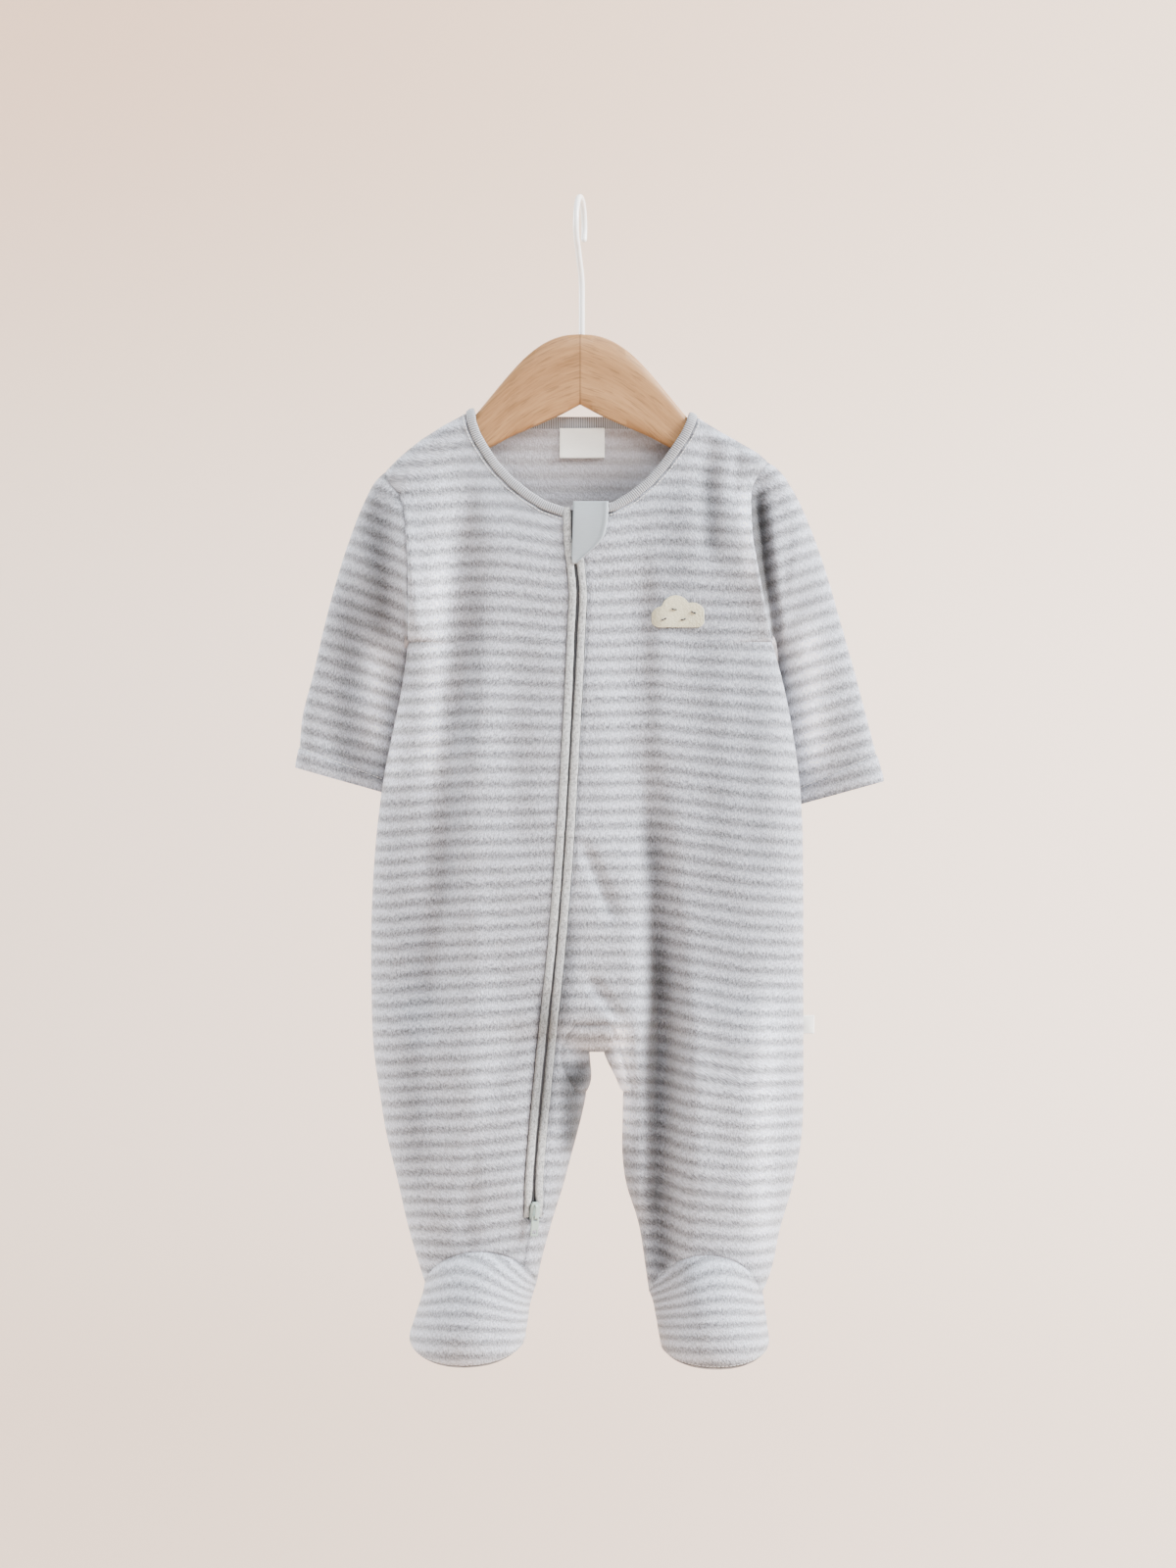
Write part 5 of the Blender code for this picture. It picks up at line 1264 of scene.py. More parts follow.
def patch_material(name, colour):
    """Brushed wool felt: tangled fibres, a little clouded, with a soft fuzz."""
    g = Graph(name, Roughness=0.95, Sheen_Weight=0.35, Sheen_Roughness=0.5,
              Specular_IOR_Level=0.2)
    cloth = g.cloth()
    height = g.plus(g.grain(cloth, 2.2, 1.1, 4.0, 0.7, 0.6),
                    g.grain(cloth, 1.0, 2.4, 4.0, 0.7, -0.5))
    shade = g.ramp(height, 0.7, 1.3, 0.70, 1.12)
    return g.finish(g.shaded(colour, shade), g.bump(height, 0.7, 0.3))


def enamel_material(name, colour, metal):
    """Painted metal: soft gloss, faint cloudiness, and bare metal on worn edges."""
    g = Graph(name, Roughness=0.36, Coat_Weight=0.25, Coat_Roughness=0.25)
    place = g.place()
    cloud = g.noise(place, 600.0, 3.0, 0.6)
    worn = g.add("ShaderNodeNewGeometry", out="Pointiness")
    rim = g.ramp(g.plus(worn, g.math("MULTIPLY_ADD", cloud, 0.10, -0.05)), 0.55, 0.62)
    base = g.mix(g.times(rim, 0.35), g.mix(cloud, faded(colour, 0.93), colour), metal)
    rough = g.ramp(cloud, 0.3, 0.7, 0.30, 0.46)
    return g.finish(base, g.bump(cloud, 0.15, 0.04), rough)


def wire_material(name, colour):
    """White dipped wire: a smooth coat with slight waves and a few dull rubbed spots."""
    g = Graph(name, Roughness=0.3, Coat_Weight=0.3, Coat_Roughness=0.2)
    place = g.place()
    wave = g.noise(place, 160.0, 2.0, 0.5)
    spots = g.ramp(g.noise(place, 520.0, 3.0, 0.6), 0.62, 0.74)
    base = g.mix(g.times(spots, 0.25), colour, faded(colour, 0.72))
    return g.finish(base, g.bump(wave, 0.2, 0.25), g.ramp(spots, 0.0, 1.0, 0.27, 0.5))


def wood_material(name, light, dark):
    """Planed beech: long grain along the arm, short dark flecks, and a glue line.

    The grain is a noise stretched along the arm's own coordinate, and the flecks are
    where a finer stretched noise passes a threshold. The right half is a paler board.
    """
    g = Graph(name, Roughness=0.5, Coat_Weight=0.08, Coat_Roughness=0.35)
    cloth = g.cloth()
    bend = g.times(g.grain(cloth, 4.0, 9.0), 0.02)
    bent = g.add("ShaderNodeCombineXYZ",
                 {0: g.part(cloth, 0), 1: g.plus(g.part(cloth, 1), bend)})
    grain = g.grain(bent, 9.0, 150.0, 4.0, 0.6)
    broad = g.grain(bent, 2.5, 28.0, 3.0)
    dash = g.ramp(g.grain(cloth, 70.0, 700.0), 0.56, 0.66)
    fine = g.grain(bent, 55.0, 620.0, 3.0, 0.6)
    tone = g.plus(g.times(g.ramp(grain, 0.3, 0.7), 0.4), g.times(g.ramp(broad, 0.3, 0.7), 0.25))
    tone = g.math("MULTIPLY_ADD", g.ramp(fine, 0.35, 0.65), 0.35, tone)
    side = g.part(g.place(), 0)
    paler = g.ramp(side, -0.0004, 0.0004, 0.0, 0.16)
    base = g.mix(paler, g.mix(tone, dark, light), (0.46, 0.265, 0.11))
    glue = g.ramp(g.math("ABSOLUTE", side), 0.00025, 0.0008, 0.6, 0.0)
    for share in (glue, g.times(dash, 0.45)):
        base = g.mix(share, base, faded(dark, 0.55))
    relief = g.math("SUBTRACT", grain, g.times(dash, 0.5))
    return g.finish(base, g.bump(relief, 0.25, 0.12), g.ramp(grain, 0.2, 0.8, 0.44, 0.6))


def wall_material(name, colour, glow):
    """Painted wall or floor: nearly even, with faint broad clouding and fine grain.

    The wall glows a little with painted light, as under its own soft light, more on the right
    and less near the top and by the floor. Its colour is deepened as painted shade near the
    top and by the floor, more on the left. Seen from behind, it is clear.
    """
    g = Graph(name, Roughness=0.95, Specular_IOR_Level=0.1)
    place = g.place()
    cloud = g.noise(place, 1.4, 2.0, 0.5)
    base = g.mix(g.ramp(cloud, 0.3, 0.7), faded(colour, 0.985), colour)
    x, z = g.part(place, 0), g.part(place, 2)
    # Painted shade: the colour deepens near the top and by the floor, more on the left
    edge = g.plus(g.ramp(z, -0.3, 0.3), g.ramp(z, -1.1, -0.6, 0.55, 0.0))
    edge = g.times(edge, g.ramp(x, -0.5, 0.7, 1.0, 0.45))
    base = g.mix(edge, base, (colour[0] * 0.83, colour[1] * 0.71, colour[2] * 0.61))
    # Painted light: the glow rises to the right and falls near the top and by the floor
    level = g.times(g.ramp(x, -0.8, 0.8, 0.02, 1.35), g.ramp(z, -0.4, 0.5, 1.0, 0.60))
    level = g.times(level, g.ramp(z, -1.3, -0.5, 0.1, 1.0))
    behind = g.add("ShaderNodeNewGeometry", out="Backfacing")
    g.link("Alpha", g.math("SUBTRACT", 1.0, behind))
    g.link("Emission Color", base)
    g.link("Emission Strength", g.times(level, glow))
    return g.finish(base, g.bump(g.noise(place, 420.0, 2.0, 0.5), 0.05, 0.2))


# ------------ the zip and its trims


def welt_rings(side):
    """A welt's rings: a rounded bead beside the zip, waving a little along its length.

    The bead's section is a superellipse, squared off at the zip's lower end.
    """
    sign = -1.0 if side == "left" else 1.0
    z = np.concatenate([np.arange(ZIP_TOP, ZIP_END + 3.0, -1.6),
                        ZIP_END + np.array([3.0, 2.0, 1.2, 0.5, 0.0])])
    angle = np.linspace(0, 2 * np.pi, 21)[:-1]
    spread = powered(np.cos(angle), 0.75)
    lift = np.where(np.sin(angle) > 0, 1.35 * np.abs(np.sin(angle)) ** 0.8,
                    -1.5 * np.abs(np.sin(angle)) ** 0.6)
    short = 1 - 0.5 * smooth((ZIP_END + 3.0 - z) / 3.0) ** 2
    phase = 0.0 if side == "left" else 1.7
    wave = 0.16 * np.sin(z * 0.31 + phase) + 0.12 * np.sin(z * 0.83 + 2 * phase)
    gap = ZIP_GAP.at("gap", z)
    half = (WELT_HALF - 0.4 - gap) / 2
    middle = ZIP.at("across", z) + sign * (gap + half)
    x = middle[:, None] + spread * (half + wave * 0.4)[:, None]
    up = (lift * (1 + 0.10 * wave[:, None]) - 0.25) * short[:, None]
    z = z[:, None]
    rings, _ = on_body("front", x, z, up)
    turn = angle * 2.6 / 9.0
    marks = np.stack([np.broadcast_to(turn, x.shape), body_stripe("front", x, z)], -1)
    # Painted shading: the front's painted shading lines, and painted shade on the bead's lower
    # side towards the body
    painted_shading = 0.4 * bells(PAINTED_SHADING_LINES["front"], x, z)
    return rings, marks, painted_shading + 0.5 * (1 - np.sin(angle)) ** 2


def coil_rings():
    """The zip's coil: a slim tube whose width swells once for every tooth."""
    z = np.arange(ZIP_TOP - 2.0, ZIP_END + 6.0, -0.2)
    angle = np.linspace(0, 2 * np.pi, 11)[:-1]
    tooth = 0.5 + 0.5 * np.cos(2 * np.pi * z / 1.25)
    wide = 0.75 + 0.35 * tooth
    high = 0.42 + 0.2 * tooth
    x = ZIP.at("across", z)[:, None] + wide[:, None] * np.cos(angle)
    lift = -1.1 + high[:, None] * np.sin(angle)
    rings, _ = on_body("front", x, z[:, None], lift)
    marks = np.stack(np.broadcast_arrays(angle / 6.0, z[:, None]), axis=-1)
    return rings, marks


def strip_grid(z, left, right, lift, columns):
    """A grid over the body's front from a left to a right line, with its marks in mm."""
    share = np.linspace(0, 1, columns)
    x = left[:, None] + (right - left)[:, None] * share
    points, _ = on_body("front", x, z[:, None], lift)
    return points, np.stack(np.broadcast_arrays(x, z[:, None]), axis=-1)


def softened_edge(rows, columns, step):
    """How far a plate's top is from its rim, as a quarter round from 0 to 1."""
    i, j = (np.minimum(np.arange(n), np.arange(n)[::-1]) for n in (rows, columns))
    near = np.clip(np.minimum(i[:, None], j) * step, 0, 1)
    return np.sqrt(1 - (1 - near) ** 2)


def neck_seam():
    """The neck seam from the zip over one neck point, round the back and to the zip.

    Each point of the neckline lies on the body's front or back, and its normal is the
    body's there. The band's direction is the seam's direction crossed with the normal.
    """
    share = np.linspace(0, 1, 500) ** 1.6
    parts = [on_body(side, *walk(path, share[::way]).T) for path, side, way in [
        (NECK_FRONT_LEFT, "front", -1), (NECK_BACK_LEFT, "back", 1),
        (NECK_BACK_RIGHT, "back", -1), (NECK_FRONT_RIGHT, "front", 1)]]
    points, normals, reach = even_path(*map(np.concatenate, zip(*parts)), 0.3)
    points, normals = softened(points, 30), unit(softened(normals, 160))
    along = unit(softened(np.gradient(points, axis=0), 60))
    out = unit(np.cross(along, normals))
    out = out * np.where(out[:, 2:] < 0, -1.0, 1.0)
    over = np.cross(out, along)
    over = over * np.sign(np.sum(over * normals, axis=1, keepdims=True))
    return points, unit(over), out, reach


def binding_rings(points, normals, out, reach):
    """The neck band: a folded strip's section carried along the seam, with raised ribs."""
    section = np.array([
        (-1.5, -1.75), (0.2, -1.6), (0.25, -0.6), (0.3, 0.2), (0.9, 0.62), (1.6, 0.82), (2.6, 0.9),
        (3.7, 0.86), (4.7, 0.68), (5.5, 0.3), (5.95, -0.35), (5.9, -1.0), (5.4, -1.5),
        (4.4, -1.75), (3.2, -1.95), (1.2, -2.05), (-1.4, -2.1)])
    rib = np.cos(2 * np.pi * reach / RIB_PITCH)
    faces_out = np.clip((section[:, 1] + 1.0) / 1.2, 0, 1) * np.where(section[:, 0] > 0.8, 1, 0)
    lift = section[:, 1] + rib[:, None] * faces_out * 0.2
    rings = points[:, None] + out[:, None] * section[:, :1] + normals[:, None] * lift[..., None]
    around = reach_along(section) / 9.0
    return rings, np.stack(np.broadcast_arrays(reach[:, None] / RIB_PITCH, around), axis=-1)


# ------------ the patch and labels


def cloud_grid(columns, rows):
    """The cloud's outline as a grid: each column runs from its top to its base."""
    first = PATCH_LOBES[0][0] - PATCH_LOBES[0][2]
    last = PATCH_LOBES[-1][0] + PATCH_LOBES[-1][2]
    x = (first + last) / 2 - (last - first - 1.0) / 2 * np.cos(np.linspace(0, np.pi, columns))
    rise = np.stack([
        np.where(np.abs(x - cx) < r, cz + np.sqrt(np.maximum(0, r * r - (x - cx) ** 2)), -99.0)
        for cx, cz, r in PATCH_LOBES])
    high = softened(rise.max(axis=0), 1)
    end = np.minimum(x - first, last - x)
    low = PATCH_BASE + 5.0 * (1 - np.sqrt(1 - (1 - np.clip(end / 5.0, 0, 1)) ** 2))
    low = np.minimum(low, high - 1.0)
    share = (1 - np.cos(np.linspace(0, np.pi, rows))) / 2
    return np.repeat(x[None], rows, 0), high + (low - high) * share[:, None], x, high, low


def label_grid(place, rows, columns):
    """A label's x and z on a grid, how far each point is from its rim, and its marks."""
    z = np.linspace(place["top"], place["foot"], rows)[:, None]
    x = np.linspace(place["left"], place["right"], columns)[None]
    x, z = np.broadcast_arrays(x, z)
    return x, z, softened_edge(rows, columns, 0.8), np.stack([x, z], axis=-1)


# ------------ hanger


def wood_rings():
    """The hanger's rings along its length: rounded rectangles, thinner at the two tips.

    A ring's point is its half size times a superellipse of the turn, and a tip closes
    with the square root of the distance left.
    """
    end, low = HANGER_END[0], 104.0
    side = np.concatenate([np.linspace(0, low, 105), low + (end - low) * np.sin(
        np.linspace(0, np.pi / 2, 12))[1:]])
    x = np.concatenate([-side[::-1], side[1:]])
    far = np.minimum(np.abs(x), low)
    top, foot = HANGER.at("top", far), HANGER.at("underside", far)
    close = np.sqrt(np.clip(1 - ((np.abs(x) - low) / (end - low)) ** 2, 0, 1))
    close = np.where(np.abs(x) < low, 1.0, close)
    middle = (top + foot) / 2 + (HANGER_END[1] - (top + foot) / 2) * (1 - close)
    half = (top - foot) / 2 * close
    thick = HANGER_THICK / 2 * np.sqrt(np.maximum(close, 0.0))
    turn = np.linspace(0, 2 * np.pi, 49)[:-1] + np.pi / 48
    corner = np.minimum(HANGER_ROUND, half * 0.9)
    y, z = rounded_box(turn, thick[:, None], half[:, None], corner[:, None])
    rings = np.stack(np.broadcast_arrays(x[:, None], y, middle[:, None] + z), axis=-1)
    along = arc_lengths(np.stack([x, middle], axis=-1)[None])[0] * 0.001
    marks = np.stack(np.broadcast_arrays(along[:, None], (z + y * 0.7) * 0.001), axis=-1)
    return rings, marks


def rounded_box(turn, half_y, half_z, corner):
    """Points round a rectangle whose corners are quarter circles, by the turn's ray.

    The ray meets the straight sides, and is pulled in to the quarter circle near a
    corner by solving the circle's equation along it.
    """
    c, s = np.cos(turn)[None], np.sin(turn)[None]
    flat = 1 / np.maximum(np.abs(c) / np.maximum(half_y, 1e-6),
                          np.abs(s) / np.maximum(half_z, 1e-6))
    y, z = c * flat, s * flat
    cy, cz = half_y - np.minimum(corner, half_y), half_z - np.minimum(corner, half_z)
    inside = (np.abs(y) > cy) & (np.abs(z) > cz)
    dot = np.abs(c) * cy + np.abs(s) * cz
    root = np.sqrt(np.maximum(0, dot**2 - (cy**2 + cz**2 - np.minimum(corner, half_y) ** 2)))
    reach = np.where(inside, np.minimum(dot + root, flat), flat)
    return c * reach, s * reach


def hook_line():
    """The wire's middle line: an arc over the rail, then an easy bend down to the stem.

    The arc's points are its radius times the cosine and sine, and the bend is a cubic
    through its points. The whole is turned a little about the upright axis.
    """
    turn = np.radians(np.linspace(-25, 235, 120))
    back = HOOK_RADIUS * np.cos(turn)
    rise = HOOK_RADIUS * (np.sin(turn) - 1)
    foot = HANGER.at("top", 0.0) - STEM_DEPTH + 1.0
    tail = Table("height back", [(rise[-1] + 0.5, back[-1] - 0.3), (rise[-1], back[-1]),
                                 (-38.5, -7.0), (-44.0, -3.2), (-50.0, -0.8), (-57.0, 0.0),
                                 (-70.0, 0.0), (float(foot), 0.0)])
    z = np.linspace(rise[-1], float(foot), 70)[1:]
    back = np.concatenate([back, tail.at("back", z)])
    z = np.concatenate([rise, z])
    lean = HOOK_SHIFT * smooth((-25.0 - z) / 30.0)
    line = np.stack([back * math.sin(HOOK_TURN) + lean, back * math.cos(HOOK_TURN),
                     z + WIRE_RADIUS], axis=-1)
    return softened(line, 6)


def wire_rings(line, radius):
    """Circles round a line, drawn in to a dome at its first end."""
    along = unit(np.gradient(line, axis=0))
    side = unit(np.cross(along, np.array([1.0, 0.15, 0.0])))
    over = np.cross(along, side)
    turn = np.linspace(0, 2 * np.pi, 21)[:-1]
    circle = np.cos(turn)[:, None] * side[:, None] + np.sin(turn)[:, None] * over[:, None]
    dome = np.array([0.35, 0.68, 0.87, 0.97])
    lead = line[0] - along[0] * radius * np.sqrt(1 - dome[:, None] ** 2)
    first = lead[:, None] + circle[:1] * radius * dome[:, None, None]
    return np.concatenate([first, line[:, None] + circle * radius])


def ring_of_skin(first_name, second_name):
    """The welded points where two labels of the skin meet, with their normals."""
    skin = garment_skin()
    one = np.unique(skin.quads[skin.labels == skin.names.index(first_name)])
    two = np.unique(skin.quads[np.isin(skin.labels, [skin.names.index(n) for n in second_name])])
    both = np.intersect1d(one, two)
    return skin.points[both], skin.normals[both]


def sole_path(leg):
    """A closed line a little above the sole's seam, for its stitches."""
    points, normals = ring_of_skin(f"sole_{leg}", [f"foot_upper_{leg}", f"heel_{leg}"])
    middle = points.mean(axis=0)
    turn = np.arctan2(points[:, 1] - middle[1], points[:, 0] - middle[0])
    order = np.argsort(turn)
    order = np.append(order, order[0])
    path, facing, _ = even_path(points[order], normals[order], 0.8)
    outwards = unit((path - middle) * np.array([1.0, 1.0, 0.0]))
    return path + np.array([0.0, 0.0, 1.5]) + outwards * 0.7, unit(outwards + facing * 0.3)


def hem_path(name):
    """A closed line round the sleeve where its hem is stitched down."""
    centre, arm, depth = sleeve_frame(name, HEM_STITCHED)
    turn = np.linspace(0, 2 * np.pi, 241)
    ring = centre + np.outer(np.cos(turn), arm) + np.outer(np.sin(turn) * depth, [0, -1, 0])
    flat = (np.outer(np.cos(turn) / np.linalg.norm(arm), unit(arm))
            + np.outer(np.sin(turn) / depth, [0, -1, 0]))
    path, normals, _ = even_path(ring, unit(flat), 0.6)
    return path + normals * 0.1, normals


# ------------ sizes and colours


def colour_prop(name, text, value):
    """A colour that the user may change."""
    return bpy.props.FloatVectorProperty(name=name, description=text, default=value, size=3,
                                         subtype="COLOR", min=0.0, max=1.0)


def length_prop(name, text, value):
    """A length that the user may change."""
    return bpy.props.FloatProperty(name=name, description=text, default=value,
                                   subtype="DISTANCE", unit="LENGTH")


def power_prop(name, text, value):
    """A light's power in watts."""
    return bpy.props.FloatProperty(name=name, description=text, default=value, min=0.0,
                                   subtype="POWER", unit="POWER")


class SleepsuitCloth(bpy.types.PropertyGroup):
    """The striped fleece."""

    light: colour_prop("Light stripe", "Colour of the light stripes", (0.485, 0.52, 0.60))
    dark: colour_prop("Dark stripe", "Colour of the dark stripes", (0.236, 0.249, 0.280))
    inside: colour_prop("Inside", "Tint of the fleece's inner face", (0.56, 0.51, 0.52))
    wall: length_prop("Wall", "Thickness of the fleece", FLEECE * MM)
    pile: bpy.props.FloatProperty(name="Pile", description="Strength of the raised pile",
                                  default=1.0, min=0.0, max=3.0)


class SleepsuitTrims(bpy.types.PropertyGroup):
    """The zip, the neck band, the labels, the patch and the thread."""

    welt: colour_prop("Welts", "Colour of the plain welts beside the zip", (0.44, 0.46, 0.47))
    # The tape is dark grey, deepened nearly to black as painted shade in the gap between the welts
    tape: colour_prop("Zip tape", "Colour of the zip's tape and coil", (0.055, 0.058, 0.065))
    enamel: colour_prop("Slider", "Colour of the painted slider", (0.34, 0.44, 0.41))
    band: colour_prop("Neck band", "Colour of the ribbed neck band", (0.40, 0.415, 0.445))
    ribbon: colour_prop("Garage", "Colour of the ribbon over the zip's top", (0.31, 0.355, 0.39))
    label: colour_prop("Labels", "Colour of the bare woven labels", (0.97, 0.98, 0.93))
    patch: colour_prop("Patch", "Colour of the cloud patch", (0.62, 0.59, 0.43))
    thread: colour_prop("Thread", "Colour of the seams' thread", (0.66, 0.675, 0.69))
    dashes: colour_prop("Dark thread", "Colour of the patch's short stitches",
                        (0.045, 0.045, 0.05))
    rib: bpy.props.FloatProperty(name="Rib", description="Width of one rib of the neck band",
                                 default=RIB_PITCH * MM, subtype="DISTANCE", unit="LENGTH")


class SleepsuitHanger(bpy.types.PropertyGroup):
    """The wooden hanger and its wire hook."""

    light: colour_prop("Light grain", "Colour of the wood's light grain", (0.41, 0.222, 0.088))
    dark: colour_prop("Dark grain", "Colour of the wood's dark grain", (0.225, 0.108, 0.036))
    wire: colour_prop("Wire", "Colour of the dipped wire", (0.86, 0.88, 0.88))
    radius: length_prop("Wire radius", "Half the wire's width", WIRE_RADIUS * MM)


class SleepsuitStage(bpy.types.PropertyGroup):
    """The floor, the wall, the lights and the camera."""

    wall: colour_prop("Wall", "Colour of the wall and the floor", (0.70, 0.585, 0.50))
    key: power_prop("Key light", "Power of the large soft light", 870.0)
    fill: power_prop("Fill light", "Power of the light opposite", 350.0)
    front: power_prop("Front light", "Power of the light above", 190.0)
    air: bpy.props.FloatProperty(name="Room light", description="Strength of the even light",
                                 default=0.62, min=0.0)
    glow: bpy.props.FloatProperty(name="Wall light", description="Strength of the wall's light",
                                  default=1.2, min=0.0)
    distance: length_prop("Camera distance", "How far the camera stands in front", 4.0)


# ------------ operators


def kept_material(name, make, *arguments):
    """A material made once and shared by the pieces that use it."""
    if name not in KEPT:
        KEPT[name] = make(name, *arguments)
    return KEPT[name]


def as_sheet(node):
    """Hides the solid that a piece takes the place of."""
    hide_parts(node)


def panel_piece(scene, name):
    """One panel of the garment, cut from the skin, in place of its solid."""
    look = scene.sleepsuit_cloth
    material = kept_material("fleece", fleece_material, look.light, look.dark, look.inside,
                             1.0, look.pile)
    points, quads, marks, shades = garment_skin().cut(name, look.wall / MM)
    piece = make_piece(f"{name}_cloth", points, quads, material, marks, shades)
    as_sheet(name)


def thread_of(scene):
    """The thread of the seams' stitches."""
    return kept_material("thread", thread_material, scene.sleepsuit_trims.thread)


class SLEEPSUIT_OT_body(bpy.types.Operator):
    """Adds the front, back and gusset panels of the body and legs."""

    bl_idname = "sleepsuit.body"
    bl_label = "Body panels"

    def execute(self, context):
        for name in ("front_left", "front_right", "back", "gusset"):
            panel_piece(context.scene, name)
        return {"FINISHED"}


class SLEEPSUIT_OT_sleeves(bpy.types.Operator):
    """Adds the two sleeves and the stitches of their hems."""

    bl_idname = "sleepsuit.sleeves"
    bl_label = "Sleeves"

    def execute(self, context):
        for name in ("left", "right"):
            panel_piece(context.scene, f"sleeve_{name}")
            stitch_row(f"hem_stitches_{name}", *hem_path(name), thread_of(context.scene),
                       "fleece", *STITCHES["hem"])
        return {"FINISHED"}


class SLEEPSUIT_OT_feet(bpy.types.Operator):
    """Adds the uppers, heels and soles of the feet and the soles' stitches."""

    bl_idname = "sleepsuit.feet"
    bl_label = "Feet"

    def execute(self, context):
        for leg in ("left", "right"):
            for part in ("foot_upper", "heel", "sole"):
                panel_piece(context.scene, f"{part}_{leg}")
            stitch_row(f"sole_stitches_{leg}", *sole_path(leg), thread_of(context.scene),
                       "fleece", *STITCHES["sole"])
        return {"FINISHED"}


class SLEEPSUIT_OT_zip(bpy.types.Operator):
    """Adds the zip's welts, tape and coil."""

    bl_idname = "sleepsuit.zip"
    bl_label = "Zip and welts"

    def execute(self, context):
        look = context.scene.sleepsuit_trims
        welt = kept_material("welt", fleece_material, look.welt, faded(look.welt, 0.82),
                             look.welt, 0.8, 0.8)
        for side in ("left", "right"):
            rings, marks, painted_shading = welt_rings(side)
            piece = tube_piece(f"welt_{side}_cloth", rings, welt, marks, painted_shading)
            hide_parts(f"welt_{side}")
        tape = kept_material("tape", weave_material, look.tape, 1.4, 1.4)
        z = np.linspace(ZIP_TOP - 1.0, ZIP_CLOSED + 1.0, 150)
        middle = ZIP.at("across", z)
        edges = (middle - TAPE_HALF, middle + TAPE_HALF)
        (top, marks), (under, _) = (strip_grid(z, *edges, face, 12) for face in TAPE_FACES)
        piece = plate_piece("zip_tape_woven", top, under, marks, tape)
        as_sheet("zip_tape")
        rings, marks = coil_rings()
        tube_piece("zip_coil", rings, tape, marks)
        return {"FINISHED"}


class SLEEPSUIT_OT_slider(bpy.types.Operator):
    """Adds the lower slider and its pull tab, with rounded edges."""

    bl_idname = "sleepsuit.slider"
    bl_label = "Slider and pull tab"

    def execute(self, context):
        look = context.scene.sleepsuit_trims
        enamel = kept_material("enamel", enamel_material, look.enamel, (0.46, 0.45, 0.43))
        for node, body in (("zip_slider", CLOTH_BODY), ("zip_pull", PULL_BODY)):
            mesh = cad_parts[node].data.copy()
            shape = bmesh.new()
            shape.from_mesh(mesh)
            bmesh.ops.remove_doubles(shape, verts=shape.verts, dist=1e-6)
            bmesh.ops.dissolve_limit(shape, angle_limit=0.02, verts=shape.verts,
                                     edges=shape.edges)
            bmesh.ops.recalc_face_normals(shape, faces=shape.faces)
            shape.to_mesh(mesh)
            shape.free()
            mesh.materials.clear()
            mesh.materials.append(enamel)
            mesh.shade_smooth()
            piece = bpy.data.objects.new(f"{node}_painted", mesh)
            context.scene.collection.objects.link(piece)
            bevel = piece.modifiers.new("rounded edges", "BEVEL")
            bevel.width = 0.22 * MM
            bevel.segments = 3
            bevel.limit_method = "ANGLE"
            bevel.angle_limit = math.radians(30)
            bevel.harden_normals = True
            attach(piece, body)
            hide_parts(node)
        return {"FINISHED"}


class SLEEPSUIT_OT_neck(bpy.types.Operator):
    """Adds the ribbed neck band and the thread line beside it."""

    bl_idname = "sleepsuit.neck"
    bl_label = "Neck band"

    def execute(self, context):
        look = context.scene.sleepsuit_trims
        points, normals, out, reach = neck_seam()
        rings, marks = binding_rings(points, normals, out, reach)
        rib = kept_material("binding", rib_material, look.band)
        piece = tube_piece("neck_band_ribbed", rings, rib, marks)
        as_sheet("neck_binding")
        path = points - out * 1.5 + normals * 0.12
        stitch_row("neck_stitches", path, normals, thread_of(context.scene), "fleece",
                   *STITCHES["neck"])
        return {"FINISHED"}


class SLEEPSUIT_OT_garage(bpy.types.Operator):
    """Adds the ribbon tab over the zip's top, with its folded edge."""

    bl_idname = "sleepsuit.garage"
    bl_label = "Zip garage"

    def execute(self, context):
        look = context.scene.sleepsuit_trims
        z = np.linspace(*GARAGE.values[[-1, 0], 0], 64)
        left, right = GARAGE.at("left", z), GARAGE.at("right", z)
        columns = 40
        share = np.linspace(0, 1, columns)
        fold = 0.45 * np.exp(-(((share - 0.93) / 0.06) ** 2)) + 0.1 * np.sin(share * 7 + 0.5)
        edge = softened_edge(len(z), columns, 0.9)
        lift = GARAGE_LIFT + GARAGE_THICK * (0.35 + 0.65 * edge) + fold * edge
        top, marks = strip_grid(z, left, right, lift, columns)
        under, _ = strip_grid(z, left, right, GARAGE_LIFT - 0.1, columns)
        ribbon = kept_material("ribbon", weave_material, look.ribbon, 1.6, 1.6, 0.5, 0.2,
                               0.08, 0.06)
        piece = plate_piece("zip_garage_ribbon", top, under, marks, ribbon)
        as_sheet("zip_garage")
        return {"FINISHED"}


